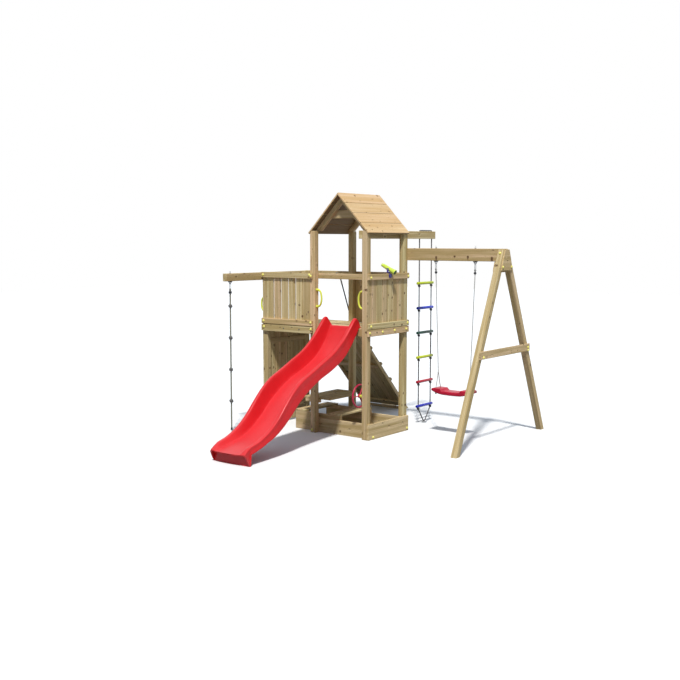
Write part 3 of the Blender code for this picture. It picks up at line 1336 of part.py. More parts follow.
# A solid turned about local X from an outline of (distance along X, radius)
def turned(name, outline, material, sides=16):
    bm = bmesh.new()
    rings = []
    for along, radius in outline:
        if radius == 0.0:
            rings.append([bm.verts.new((along, 0, 0))])
            continue
        ring = []
        for k in range(sides):
            angle = 2 * math.pi * k / sides
            ring.append(bm.verts.new((along, radius * math.cos(angle), radius * math.sin(angle))))
        rings.append(ring)
    for ring, following in zip(rings, rings[1:]):
        for k in range(sides):
            j = (k + 1) % sides
            corners = [ring[k % len(ring)], ring[j % len(ring)], following[j % len(following)],
                       following[k % len(following)]]
            bm.faces.new(list(dict.fromkeys(corners)))
    return add_object(name, mesh_from(bm, name), material)


# Telescope: a tube on trunnions in a fork that turns on the top rail
def make_telescope():
    pivot = Vector((RIGHT + GAP + RAIL_THICKNESS / 2, FRONT + TELESCOPE_SETBACK,
                    RAIL_TOP + TELESCOPE_PIVOT_ABOVE_RAIL))
    eye_end = -TELESCOPE_REAR + TELESCOPE_EYE_LENGTH
    middle = TELESCOPE_MIDDLE_LENGTH / 2
    ring = TELESCOPE_FRONT - TELESCOPE_MOUTH_RING
    mouth_floor = TELESCOPE_FRONT - TELESCOPE_MOUTH_DEPTH
    outline = [
        (-TELESCOPE_REAR, 0.0), (-TELESCOPE_REAR, TELESCOPE_EYE_RADIUS), (eye_end, TELESCOPE_EYE_RADIUS),
        (eye_end + TELESCOPE_COLLAR_STEP, TELESCOPE_COLLAR_RADIUS),
        (-middle, TELESCOPE_BODY_RADIUS - TELESCOPE_BODY_TAPER), (middle, TELESCOPE_BODY_RADIUS),
        (ring - TELESCOPE_BODY_TAPER, TELESCOPE_MOUTH_RADIUS - TELESCOPE_BODY_TAPER),
        (ring, TELESCOPE_MOUTH_RADIUS), (TELESCOPE_FRONT, TELESCOPE_MOUTH_RADIUS),
        (TELESCOPE_FRONT, TELESCOPE_MOUTH_RADIUS - TELESCOPE_WALL),
        (mouth_floor, TELESCOPE_BODY_RADIUS - TELESCOPE_WALL), (mouth_floor, 0.0),
    ]
    body = turned("telescope_tube", outline, TELESCOPE_LIME)
    arm_inner = TELESCOPE_BODY_RADIUS + FORK_ARM_CLEARANCE
    arm_outer = arm_inner + FORK_ARM
    pin_end = arm_outer + TRUNNION_END
    pin = cylinder(
        "trunnions", (0, -pin_end, 0), (0, pin_end, 0), TRUNNION_RADIUS, TELESCOPE_LIME, 12,
    )
    whole = join_pieces("telescope_tube", [body, pin])
    whole.location = pivot
    whole.rotation_euler = (0, TELESCOPE_TILT, 0)
    smooth_rounds(whole)

    seat = -TELESCOPE_PIVOT_ABOVE_RAIL + GAP
    base = cylinder(
        "base", (0, 0, seat), (0, 0, seat + FORK_BASE_HEIGHT), FORK_BASE_RADIUS, FORK_VIOLET, 20,
    )
    stem = cylinder(
        "stem", (0, 0, seat + FORK_BASE_HEIGHT - LET_IN), (0, 0, seat + FORK_STEM_HEIGHT),
        FORK_STEM_RADIUS, FORK_VIOLET, 16,
    )
    yoke_foot = seat + FORK_STEM_HEIGHT - LET_IN
    yoke_top = yoke_foot + FORK_FLOOR
    outline = [
        (-arm_outer, yoke_foot), (arm_outer, yoke_foot), (arm_outer, FORK_ARM_TOP - TRUNNION_RADIUS),
        (arm_outer - LET_IN, FORK_ARM_TOP), (arm_inner, FORK_ARM_TOP), (arm_inner, yoke_top + FORK_FLOOR),
        (arm_inner - FORK_FLOOR, yoke_top), (-arm_inner + FORK_FLOOR, yoke_top),
        (-arm_inner, yoke_top + FORK_FLOOR), (-arm_inner, FORK_ARM_TOP),
        (-arm_outer + LET_IN, FORK_ARM_TOP), (-arm_outer, FORK_ARM_TOP - TRUNNION_RADIUS),
    ]
    yoke = add_object(
        "yoke", mesh_from(extrusion(outline, "X", 2 * FORK_HALF_WIDTH), "yoke"), FORK_VIOLET,
    )
    fork = join_pieces("telescope_fork", [yoke, base, stem])
    bore(
        fork, (0, -arm_outer - 0.02, 0), (0, arm_outer + 0.02, 0),
        TRUNNION_RADIUS + RUNNING_CLEARANCE, 16,
    )
    fork.location = pivot
    smooth_rounds(fork)


# Steering wheel on an axle that stands off the near post
def make_wheel():
    y = FRONT + POST / 2
    face = RIGHT - POST - GAP
    x = RIGHT - POST - WHEEL_STANDOFF
    hub_right = x + HUB_THICKNESS / 2
    hub_left = x - HUB_THICKNESS / 2
    shoulder = hub_right - face + GAP
    cap = hub_left - face - GAP
    end = hub_left - face - AXLE_CAP
    outline = [
        (0.0, 0.0), (0.0, MOUNT_FLANGE_RADIUS), (-MOUNT_FLANGE, MOUNT_FLANGE_RADIUS),
        (-MOUNT_NECK, MOUNT_NECK_RADIUS), (shoulder, AXLE_SHOULDER_RADIUS), (shoulder, AXLE_RADIUS),
        (cap, AXLE_RADIUS), (cap, AXLE_SHOULDER_RADIUS), (end, AXLE_CAP_RADIUS), (end, 0.0),
    ]
    mount = turned("wheel_mount", outline, HANDLE_YELLOW)
    mount.location = (face, y, WHEEL_HEIGHT)
    smooth_rounds(mount)

    points = []
    for k in range(WHEEL_POINTS):
        angle = 2 * math.pi * k / WHEEL_POINTS
        points.append((0, WHEEL_RADIUS * math.cos(angle), WHEEL_RADIUS * math.sin(angle)))
    rim = tube("rim", points, WHEEL_ROD, WHEEL_RED, closed=True)
    pieces = [rim]
    hub = cylinder(
        "hub", (-HUB_THICKNESS / 2, 0, 0), (HUB_THICKNESS / 2, 0, 0), HUB_RADIUS, WHEEL_RED, 20,
    )
    pieces.append(hub)
    for k in range(WHEEL_SPOKES):
        angle = math.pi / 2 + 2 * math.pi * k / WHEEL_SPOKES
        spoke = timber(
            "spoke", (-SPOKE_THICKNESS / 2, -SPOKE_WIDTH / 2, 0.8 * HUB_RADIUS),
            (SPOKE_THICKNESS / 2, SPOKE_WIDTH / 2, WHEEL_RADIUS), WHEEL_RED, BOARD_CHAMFER,
        )
        place_origin(spoke, (0, 0, 0))
        spoke.rotation_euler = (angle, 0, 0)
        pieces.append(spoke)
    wheel = join_pieces("steering_wheel", pieces)
    place_origin(wheel, (0, 0, 0))
    bore(wheel, (-0.05, 0, 0), (0.05, 0, 0), AXLE_RADIUS + RUNNING_CLEARANCE, 20)
    wheel.location = (x, y, WHEEL_HEIGHT)
    smooth_rounds(wheel)


# Sandbox boards round the tower's foot
def make_sandbox():
    left = LEFT + FLOOR_END_INSET
    right = RIGHT - FLOOR_END_INSET
    timber(
        "sandbox_front", (left, INNER_FRONT, 0),
        (right, INNER_FRONT + SANDBOX_BOARD, SANDBOX_FRONT_HEIGHT), PINE, BOARD_CHAMFER,
    )
    timber(
        "sandbox_rear", (left, INNER_REAR - SANDBOX_BOARD, 0),
        (right, INNER_REAR, SANDBOX_FRONT_HEIGHT), PINE, BOARD_CHAMFER,
    )
    timber(
        "sandbox_right", (RIGHT + GAP, FRONT, 0),
        (RIGHT + GAP + SANDBOX_BOARD, REAR, SANDBOX_SIDE_HEIGHT), PINE, BOARD_CHAMFER,
    )


# Picnic table between the left posts, with a bench each side on two cross-beams
def make_picnic_set():
    table_left = LEFT - TABLE_LEFT_OF_POST
    table_right = LEFT + POST + TABLE_RIGHT_OF_POST
    top_foot = TABLE_HEIGHT - TABLE_THICKNESS
    top_outline = [
        (table_left, INNER_FRONT), (table_right, INNER_FRONT),
        (table_right, INNER_REAR - TABLE_CORNER), (table_right - TABLE_CORNER, INNER_REAR),
        (table_left, INNER_REAR),
    ]
    top = add_object(
        "top", mesh_from(extrusion(top_outline, "Z", TABLE_THICKNESS), "top"), PINE,
        (0, 0, TABLE_HEIGHT - TABLE_THICKNESS / 2),
    )
    pieces = [top]
    for y in (INNER_FRONT + GAP, INNER_REAR - GAP - JOIST_THICKNESS):
        pieces.append(timber(
            "batten", (table_left + TABLE_BATTEN_INSET, y, top_foot - TABLE_BATTEN_HEIGHT),
            (table_right - TABLE_BATTEN_RIGHT_INSET, y + JOIST_THICKNESS, top_foot + LET_IN),
            PINE, BOARD_CHAMFER,
        ))
    join_pieces("picnic_table", pieces)

    front_beam = INNER_FRONT + SANDBOX_BOARD + GAP
    rear_beam = INNER_REAR - SANDBOX_BOARD - GAP - JOIST_THICKNESS
    beam_top = BENCH_HEIGHT - TABLE_THICKNESS
    beam_left = LEFT - BENCH_OUTREACH
    beam_right = LEFT + POST + BENCH_OUTREACH
    pieces = []
    for y in (front_beam, rear_beam):
        pieces.append(timber(
            "cross-beam", (beam_left, y, beam_top - BENCH_BEAM_HEIGHT),
            (beam_right, y + JOIST_THICKNESS, beam_top), PINE, BOARD_CHAMFER,
        ))
    for x in (beam_left, beam_right - BENCH_WIDTH):
        pieces.append(timber(
            "bench", (x, front_beam - LET_IN, beam_top - LET_IN),
            (x + BENCH_WIDTH, rear_beam + JOIST_THICKNESS + LET_IN, BENCH_HEIGHT), PINE, BOARD_CHAMFER,
        ))
    join_pieces("picnic_benches", pieces)


def main():
    for old in list(bpy.data.objects):
        bpy.data.objects.remove(old, do_unlink=True)
    make_posts()
    make_tower_deck()
    make_annex_deck()
    make_railings()
    make_roof_slope("roof_left", -1)
    make_roof_slope("roof_right", 1)
    make_gable("gable_front", FRONT, 1)
    make_gable("gable_rear", REAR, -1)
    make_slide()
    make_ramp()
    make_ramp_rope()
    make_left_wall()
    make_swing()
    make_a_frame()
    make_ladder()
    make_climbing_rope()
    make_handles()
    make_telescope()
    make_wheel()
    make_sandbox()
    make_picnic_set()


main()
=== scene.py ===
import math
import random
from functools import partial
from itertools import product

import bmesh
import bpy
from mathutils import Matrix, Vector


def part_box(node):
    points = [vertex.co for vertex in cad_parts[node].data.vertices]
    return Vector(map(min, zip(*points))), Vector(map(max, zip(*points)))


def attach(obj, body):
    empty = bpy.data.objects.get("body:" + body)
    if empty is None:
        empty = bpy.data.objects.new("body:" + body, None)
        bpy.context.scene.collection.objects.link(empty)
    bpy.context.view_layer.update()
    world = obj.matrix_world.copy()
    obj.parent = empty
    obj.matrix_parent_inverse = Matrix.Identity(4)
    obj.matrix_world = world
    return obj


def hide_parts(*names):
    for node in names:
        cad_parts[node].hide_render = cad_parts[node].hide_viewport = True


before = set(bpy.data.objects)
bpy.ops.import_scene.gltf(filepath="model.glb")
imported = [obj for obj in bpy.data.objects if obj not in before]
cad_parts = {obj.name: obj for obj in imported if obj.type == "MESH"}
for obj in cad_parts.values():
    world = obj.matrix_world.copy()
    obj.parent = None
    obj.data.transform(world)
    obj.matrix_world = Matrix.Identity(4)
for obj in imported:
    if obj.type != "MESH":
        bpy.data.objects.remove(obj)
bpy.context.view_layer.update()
scene = bpy.context.scene
dice = random.Random(11)

# Where the playset's parts stand, in metres, as the solids have them
plan = dict(
    right=0.157, left=-0.643, annexLeft=-1.367, front=-0.18, rear=0.61, post=0.07, gap=0.0003, letIn=0.001,
    deckTop=1.232, floorFoot=1.212, joistFoot=1.142, railTop=1.828, towerMiddle=-0.243,
    innerFront=-0.1097, innerRear=0.5397,
)
left, right, annexLeft, front, rear, post, gap, letIn = (
    plan[key] for key in ("left", "right", "annexLeft", "front", "rear", "post", "gap", "letIn")
)
deckTop, floorFoot, joistFoot, towerMiddle, innerFront, innerRear = (
    plan[key] for key in ("deckTop", "floorFoot", "joistFoot", "towerMiddle", "innerFront", "innerRear")
)


def linearColour(hexCode):
    channels = [int(hexCode[i:i + 2], 16) / 255 for i in (1, 3, 5)]
    return (*(c / 12.92 if c <= 0.04045 else ((c + 0.055) / 1.055) ** 2.4 for c in channels), 1.0)


# A socket is linked, a hex colour is turned to linear, and anything else is set as it is
def setInputs(node, values):
    for key, value in values.items():
        if isinstance(value, bpy.types.NodeSocket):
            node.id_data.links.new(value, node.inputs[key])
        else:
            isColour = isinstance(value, str) and value.startswith("#")
            node.inputs[key].default_value = linearColour(value) if isColour else value


# Adds a node and gives one of its outputs, or all of them. Its inputs come in order, or in one dictionary.
def addNode(tree, kind, *given, out=0, stops=(), **settings):
    node = tree.nodes.new(kind if "Node" in kind else "ShaderNode" + kind)
    for key, value in settings.items():
        setattr(node, key, value)
    setInputs(node, given[0] if given and isinstance(given[0], dict) else dict(enumerate(given)))
    for i, (at, hexCode) in enumerate(stops):
        node.color_ramp.elements[i].position = at
        node.color_ramp.elements[i].color = linearColour(hexCode)
    return node.outputs[out] if out is not None and node.outputs else node.outputs


def newMaterial(name):
    material = bpy.data.materials.new(name)
    material.use_nodes = True
    return material, partial(addNode, material.node_tree), material.node_tree.nodes["Principled BSDF"]


def newObject(name, data):
    obj = bpy.data.objects.new(name, data)
    scene.collection.objects.link(obj)
    return obj


# 1 for the rays that show the studio itself: from the camera, and through gloss or glass
def raysSeen(tree):
    rays = addNode(tree, "LightPath", out=None)
    direct = addNode(tree, "Math", rays["Is Camera Ray"], rays["Is Glossy Ray"], operation="MAXIMUM")
    return addNode(tree, "Math", direct, rays["Is Transmission Ray"], operation="MAXIMUM")


# Camera, at the photograph's place and angle
view = dict(lens=51.79, sensor=36.0, place=(6.398, -8.773, 2.194), turn=(84.197, 0.0, 37.573))
camera = newObject("camera", bpy.data.cameras.new("camera"))
camera.data.lens = view["lens"]
camera.data.sensor_width = view["sensor"]
camera.location = view["place"]
camera.rotation_euler = [math.radians(a) for a in view["turn"]]
scene.camera = camera

# Daylight from the front right, with a pale sky that fills the shade
light = dict(
    sunTravel=(-0.385, 0.55, -1.0), sunStrength=3.3, sunWidth=4.2, horizon=0.07, zenith=0.66, sky="#dfecff",
    backdrop="#ffffff", floor="#f6f6f4", floorBounce="#949698", floorHalf=30,
)
sun = newObject("sun", bpy.data.lights.new("sun", "SUN"))
sun.data.energy = light["sunStrength"]
sun.data.angle = math.radians(light["sunWidth"])
sun.rotation_euler = Vector(light["sunTravel"]).to_track_quat("-Z", "Y").to_euler()

world = bpy.data.worlds.new("studio")
world.use_nodes = True
scene.world = world
world.node_tree.nodes.clear()
add = partial(addNode, world.node_tree)
upwards = add("SeparateXYZ", add("TexCoord", out="Generated"), out="Z")
height = add("MapRange", {"Value": upwards, "To Min": light["horizon"], "To Max": light["zenith"]})
fill = add("Background", light["sky"], height)
plain = add("Background", light["backdrop"], 1.0)
add("OutputWorld", add("MixShader", raysSeen(world.node_tree), fill, plain))
scene.view_settings.view_transform = "Standard"

floorMesh = bpy.data.meshes.new("floor")
wide = light["floorHalf"]
floorMesh.from_pydata([(-wide, -wide, 0), (wide, -wide, 0), (wide, wide, 0), (-wide, wide, 0)], [], [(0, 1, 2, 3)])
floor = newObject("floor", floorMesh)
floorPaint, add, _ = newMaterial("pale studio floor")
floorPaint.node_tree.nodes.clear()
floorColour = add("Mix", {
    0: raysSeen(floorPaint.node_tree), 6: light["floorBounce"], 7: light["floor"],
}, out=2, data_type="RGBA")
add("OutputMaterial", add("BsdfDiffuse", floorColour))
floorMesh.materials.append(floorPaint)
print("camera, light and floor are up")


# How far the surface looks up, from -1 to 1
def upwardness(add):
    return add("SeparateXYZ", add("NewGeometry", out="Normal"), out="Z")


# Planed, pressure-treated pine: growth rings round an off-centre pith, fibres, knots, a tone for each board, and
# painted shade on faces that look down
def makeWood(name, look):
    material, add, shader = newMaterial(name)
    grain = add("Attribute", out="Vector", attribute_name="grain")
    tone = add("Attribute", out="Fac", attribute_name="tone")
    spun = add("Math", tone, look["toneSpin"], operation="MULTIPLY")
    drawn = add("TexWhiteNoise", {"W": spun}, out="Color", noise_dimensions="1D")
    draws = add("SeparateColor", drawn, out=None)
    place = add("VectorMath", drawn, look["boardShift"], grain, operation="MULTIPLY_ADD")
    bendAt = add("VectorMath", place, look["bendScale"], operation="MULTIPLY")
    bend = add("TexNoise", {"Vector": bendAt, "Scale": 1.0, "Detail": 2.0}, out="Fac")
    axes = add("SeparateXYZ", grain, out=None)
    sideways = add("Math", bend, look["bend"], axes["Y"], operation="MULTIPLY_ADD")
    pithAcross = add("Math", draws[1], look["pithAcross"], sideways, operation="MULTIPLY_ADD")
    pithBelow = add("Math", draws[2], look["pithSpread"], axes["Z"], operation="MULTIPLY_ADD")
    below = add("Math", pithBelow, look["pithDepth"], operation="ADD")
    radius = add("VectorMath", add("CombineXYZ", 0.0, pithAcross, below), out="Value", operation="LENGTH")
    placed = add("SeparateXYZ", place, out=None)
    aboutPith = add("Math", pithAcross, below, operation="ARCTAN2")
    knotAlong = add("Math", placed[0], look["knotAlong"], operation="MULTIPLY")
    knotRound = add("Math", aboutPith, look["knotRound"], placed[1], operation="MULTIPLY_ADD")
    knotAt = add("CombineXYZ", knotAlong, knotRound)
    branch = add("TexVoronoi", {"Vector": knotAt, "Scale": 1.0}, out=None, voronoi_dimensions="2D")
    grown = add("Math", add("SeparateColor", branch["Color"]), look["knotShare"], operation="LESS_THAN")
    wide = add("MapRange", branch["Distance"], *look["halo"], 1.0, 0.0, interpolation_type="SMOOTHSTEP")
    halo = add("Math", wide, grown, operation="MULTIPLY")
    core = add(
        "MapRange", branch["Distance"], look["knotSize"] / 2, look["knotSize"], 1.0, 0.0,
        interpolation_type="SMOOTHSTEP",
    )
    knot = add("Math", core, grown, operation="MULTIPLY")
    pushed = add("Math", halo, look["haloPush"], radius, operation="MULTIPLY_ADD")
    turns = add("Math", pushed, 1.0 / look["ring"], operation="MULTIPLY")
    late = add("Math", add("Math", turns, operation="FRACT"), look["lateness"], operation="POWER")
    fibreAt = add("VectorMath", place, look["fibreScale"], operation="MULTIPLY")
    fibre = add("TexNoise", {"Vector": fibreAt, "Scale": 1.0, "Detail": 3.0}, out="Fac")
    streakAt = add("VectorMath", place, look["streakScale"], operation="MULTIPLY")
    streak = add("TexNoise", {"Vector": streakAt, "Scale": 1.0, "Detail": 2.0}, out="Fac")
    wash = add("MapRange", streak, *look["streakBand"], 0.0, look["washShare"])
    lateShare = add("Math", late, look["lateShare"], operation="MULTIPLY")
    early = add("Mix", {0: draws[2], 6: look["earlyWarm"], 7: look["earlyGreen"]}, out=2, data_type="RGBA")
    ringed = add("Mix", {0: lateShare, 6: early, 7: look["late"]}, out=2, data_type="RGBA")
    washed = add("Mix", {0: wash, 6: ringed, 7: look["wash"]}, out=2, data_type="RGBA")
    value = add("Math", draws[0], look["toneSpread"], 1.0 - look["toneSpread"] / 2, operation="MULTIPLY_ADD")
    fibreValue = add("Math", fibre, *look["fibreTone"], operation="MULTIPLY_ADD")
    bright = add("Math", value, fibreValue, operation="MULTIPLY")
    toned = add("HueSaturation", {"Value": bright, "Color": washed})
    knotted = add("Mix", {0: knot, 6: toned, 7: look["knot"]}, out=2, data_type="RGBA")
    # Painted shade: faces that look down are mixed towards a dark colour, as boards in the shade under the roof and the
    # floors look
    paintedShadeMask = add("MapRange", upwardness(add), *look["paintedShadeBand"], look["paintedShadeShare"], 0.0)
    shadePainted = add("Mix", {0: paintedShadeMask, 6: knotted, 7: look["paintedShade"]}, out=2, data_type="RGBA")
    rough = add("MapRange", fibre, 0.0, 1.0, *look["roughness"])
    relief = add("Math", late, look["ringRelief"], fibre, operation="MULTIPLY_ADD")
    bump = add("Bump", {"Height": relief, "Strength": look["bump"], "Distance": look["relief"]})
    setInputs(shader, {"Base Color": shadePainted, "Roughness": rough, "Normal": bump})
    return material


# Rings are drawn about twice as wide as the real 4 to 6 mm, so that they show at this distance.
# The underside colour is painted shade: it darkens faces that look down, as boards under the roof and the floors are in
# shade.
pineLook = dict(
    earlyWarm="#ecc9a0", earlyGreen="#dbcf9c", late="#9c814b", wash="#ab925b", knot="#5a3d1f", ring=0.013,
    lateShare=0.75, washShare=0.85, bend=0.04, knotAlong=7.0, knotRound=1.0, knotShare=0.4, knotSize=0.13,
    toneSpread=0.2, paintedShade="#4c3a1d", paintedShadeShare=0.2, toneSpin=997.0, boardShift=(31.0, 31.0, 31.0),
    bendScale=(1.6, 7.0, 7.0), pithAcross=-0.11, pithSpread=0.055, pithDepth=0.014, halo=(0.05, 0.36),
    haloPush=0.014, lateness=2.4, fibreScale=(6.0, 240.0, 240.0), streakScale=(1.0, 24.0, 24.0),
    streakBand=(0.38, 0.62), fibreTone=(0.26, 0.87), paintedShadeBand=(-0.5, -0.2), roughness=(0.58, 0.78),
    ringRelief=0.5, bump=0.35, relief=0.0009,
)
# The roof boards get a strong painted shade on the faces that look down
roofLook = dict(
    pineLook, earlyWarm="#e2bf96", earlyGreen="#dfc895", late="#b58d59", wash="#c9a36c", knot="#7d5226",
    lateShare=0.6, toneSpread=0.12, paintedShadeShare=0.8,
)
pine = makeWood("pressure treated pine", pineLook)
roofPine = makeWood("planed roof pine", roofLook)

# The faded colour is what sun and use leave on faces that look up
# Faces that look up are mixed towards a paler colour: a painted reflection of the pale sky
plasticLook = dict(
    mottle=20.0, scuff=14.0, peel=420.0, roughness=0.32, scuffed=0.08, shine=0.4, faded="#e4e4e0", fadedShare=0.0,
    paintedSheenBand=(0.58, 0.72), scuffBand=(0.4, 0.7), bump=0.12, relief=0.0006, bend=1.5,
)


# Injection or rotation moulded plastic: fine orange-peel skin, faint mottling, scuffs that dull the gloss, and, where a
# share is given, a painted reflection that pales faces that look up
def makePlastic(name, body, deep, **changes):
    look = dict(plasticLook, **changes)
    material, add, shader = newMaterial(name)
    place = add("TexCoord", out="Object")
    mottle = add("TexNoise", {"Vector": place, "Scale": look["mottle"], "Detail": 3.0}, out="Fac")
    colour = add("ValToRGB", mottle, stops=((0.3, deep), (0.7, body)))
    # Painted reflection: faces that look up are mixed towards a paler colour, as if they mirrored the pale sky
    faded = add("MapRange", upwardness(add), *look["paintedSheenBand"], 0.0, look["fadedShare"])
    sheenPainted = add("Mix", {0: faded, 6: colour, 7: look["faded"]}, out=2, data_type="RGBA")
    scuff = add("TexNoise", {"Vector": place, "Scale": look["scuff"], "Detail": 6.0}, out="Fac")
    rough = add("MapRange", scuff, *look["scuffBand"], look["roughness"], look["roughness"] + look["scuffed"])
    peel = add("TexNoise", {"Vector": place, "Scale": look["peel"], "Detail": 1.0}, out="Fac")
    bump = add("Bump", {"Height": peel, "Strength": look["bump"], "Distance": look["relief"]})
    setInputs(shader, {
        "Base Color": sheenPainted, "Roughness": rough, "Normal": bump, "IOR": look["bend"],
        "Specular IOR Level": look["shine"],
    })
    return material


# The slide's faces that look up get a painted reflection, paler than its red
slideRed = makePlastic(
    "rotation moulded red polyethylene", "#d8252a", "#cf2025", faded="#dc4347", fadedShare=0.35, shine=0.3,
    roughness=0.3, scuffed=0.02, mottle=6.0,
)
seatRed = makePlastic("blow moulded crimson seat", "#bf1637", "#ae1230", mottle=14.0, shine=0.3)
wheelRed = makePlastic("moulded crimson wheel", "#c41b47", "#b0163d")
capYellow = makePlastic("moulded yellow cap", "#fdf58a", "#f4ea74", mottle=30.0)
handleYellow = makePlastic("moulded yellow handle", "#e9ee5c", "#dde24c")
tubeLime = makePlastic("moulded lime tube", "#d9ef5e", "#cbe24e")
forkViolet = makePlastic("moulded violet fork", "#3d3192", "#332a80")
footBlack = makePlastic("moulded black fitting", "#2c2e33", "#222429", mottle=30.0)
rungPlastics = {
    key: makePlastic(f"moulded {key} rung", body, deep, mottle=24.0)
    for key, body, deep in (
        ("lime", "#c8d626", "#bccb1e"), ("blue", "#1b3ccf", "#1733b8"), ("green", "#0c4638", "#08392d"),
        ("yellow", "#cdd82c", "#c0cb23"), ("crimson", "#bb1632", "#a8102a"), ("navy", "#1c2abe", "#141f9f"),
    )
}


# Zinc-plated steel: bright, with a faint spangle that breaks the reflection
def makeSteel(name, body, deep, roughness, spangleScale=320.0, roughSpread=0.15):
    material, add, shader = newMaterial(name)
    place = add("TexCoord", out="Object")
    spangle = add("TexVoronoi", {"Vector": place, "Scale": spangleScale}, out="Distance")
    colour = add("ValToRGB", spangle, stops=((0.1, body), (0.8, deep)))
    rough = add("MapRange", {"Value": spangle, "To Min": roughness, "To Max": roughness + roughSpread})
    setInputs(shader, {"Base Color": colour, "Roughness": rough, "Metallic": 1.0})
    return material


zinc = makeSteel("zinc plated steel", "#b4b6b9", "#94979b", 0.3)
dullZinc = makeSteel("dull zinc casting", "#5f656a", "#43484d", 0.45)


# Laid polypropylene rope: dull split-film fibres with a little sheen on each strand
def makeRopeFibre(name, body, deep, fibreScale=260.0, relief=0.0008):
    material, add, shader = newMaterial(name)
    place = add("TexCoord", out="Object")
    fibre = add("TexNoise", {"Vector": place, "Scale": fibreScale, "Detail": 4.0}, out="Fac")
    colour = add("ValToRGB", fibre, stops=((0.3, deep), (0.7, body)))
    bump = add("Bump", {"Height": fibre, "Strength": 0.4, "Distance": relief})
    setInputs(shader, {"Base Color": colour, "Normal": bump, "Roughness": 0.85, "Sheen Weight": 0.25})
    return material


paleRope = makeRopeFibre("pale laid rope", "#c9c8c2", "#a9a8a2")
greyRope = makeRopeFibre("grey laid rope", "#6f6d6b", "#4b4948")
mossRope = makeRopeFibre("mossy grey laid rope", "#94937f", "#747362")
print("materials are made")


# A node tree with geometry in and out, a material, and the named inputs with their usual values
def newTree(name, **inputs):
    tree = bpy.data.node_groups.new(name, "GeometryNodeTree")
    kinds = {float: "Float", int: "Int", tuple: "Vector"}
    for label, value in {"Geometry": None, **inputs, "Material": None}.items():
        kind = "NodeSocket" + kinds.get(type(value), label)
        socket = tree.interface.new_socket(label, in_out="INPUT", socket_type=kind)
        if value is not None:
            socket.default_value = value
    tree.interface.new_socket("Geometry", in_out="OUTPUT", socket_type="NodeSocketGeometry")
    add = partial(addNode, tree)
    return tree, add, add("NodeGroupInput", out=None)


def endTree(add, geometry, material):
    add("NodeGroupOutput", add("GeometryNodeSetMaterial", {"Geometry": geometry, "Material": material}))


# A rope of laid strands along a curve: the section is a circle with a lobe for each strand, turned along the way
ropeTree, add, given = newTree("laid rope", Radius=0.005, Lay=0.04, Strands=3.0, Groove=0.14, Sides=18)
along = add("GeometryNodeSplineParameter", out="Length")
turns = add("Math", along, given["Lay"], operation="DIVIDE")
angle = add("Math", turns, 2 * math.pi, operation="MULTIPLY")
twisted = add("GeometryNodeSetCurveTilt", {"Curve": given["Geometry"], "Tilt": angle})
ring = add("GeometryNodeCurvePrimitiveCircle", {"Resolution": given["Sides"], "Radius": given["Radius"]})
place = add("GeometryNodeInputPosition")
axes = add("SeparateXYZ", place, out=None)
around = add("Math", axes[1], axes[0], operation="ARCTAN2")
lobes = add("Math", around, given["Strands"], operation="MULTIPLY")
wave = add("Math", lobes, operation="COSINE")
deep = add("Math", wave, given["Groove"], 1.0, operation="MULTIPLY_ADD")
shaped = add("VectorMath", {0: place, "Scale": deep}, operation="SCALE")
section = add("GeometryNodeSetPosition", {"Geometry": ring, "Position": shaped})
tube = add("GeometryNodeCurveToMesh", {"Curve": twisted, "Profile Curve": section, "Fill Caps": True})
smooth = add("GeometryNodeSetShadeSmooth", {"Geometry": tube})
endTree(add, add("GeometryNodeRealizeInstances", smooth), given["Material"])

# A row of like boards: the given board is repeated along a step, and each copy gets its own tone
rowTree, add, given = newTree("board row", Count=6, Step=(0.1, 0.0, 0.0), Seed=1)
line = add("GeometryNodeMeshLine", {"Count": given["Count"], "Offset": given["Step"]})
spread = add("GeometryNodeInstanceOnPoints", {"Points": line, "Instance": given["Geometry"]})
real = add("GeometryNodeRealizeInstances", spread)
island = add("GeometryNodeInputMeshIsland", out="Island Index")
tone = add("FunctionNodeRandomValue", {"ID": island, "Seed": given["Seed"]}, out=1, data_type="FLOAT")
toned = add("GeometryNodeStoreNamedAttribute", {
    "Geometry": real, "Name": "tone", "Value": tone,
}, data_type="FLOAT", domain="POINT")
endTree(add, toned, given["Material"])

# Bolt caps and screw heads: a low dome on a rim, set on each point and faced along its facing attribute
capShape = dict(top=0.86, rim=0.45, dome=0.55, rings=8)
capTree, add, given = newTree("caps on points", Radius=0.011, Height=0.008, Sides=20)
top = add("Math", given["Radius"], capShape["top"], operation="MULTIPLY")
rimHeight = add("Math", given["Height"], capShape["rim"], operation="MULTIPLY")
rim = add("GeometryNodeMeshCone", {
    "Vertices": given["Sides"], "Radius Top": top, "Radius Bottom": given["Radius"], "Depth": rimHeight,
})
ball = add("GeometryNodeMeshUVSphere", {"Segments": given["Sides"], "Rings": capShape["rings"], "Radius": top})
flatness = add("Math", given["Height"], top, operation="DIVIDE")
squash = add("CombineXYZ", 1.0, 1.0, add("Math", flatness, capShape["dome"], operation="MULTIPLY"))
lift = add("CombineXYZ", 0.0, 0.0, rimHeight)
dome = add("GeometryNodeTransform", {"Geometry": ball, "Scale": squash, "Translation": lift})
cap = add("GeometryNodeJoinGeometry", rim)
setInputs(cap.node, {0: dome})
facing = add("GeometryNodeInputNamedAttribute", {"Name": "facing"}, data_type="FLOAT_VECTOR")
turn = add("FunctionNodeAlignRotationToVector", {"Vector": facing}, axis="Z")
spread = add("GeometryNodeInstanceOnPoints", {"Points": given["Geometry"], "Instance": cap, "Rotation": turn})
smooth = add("GeometryNodeSetShadeSmooth", {"Geometry": add("GeometryNodeRealizeInstances", spread)})
endTree(add, smooth, given["Material"])


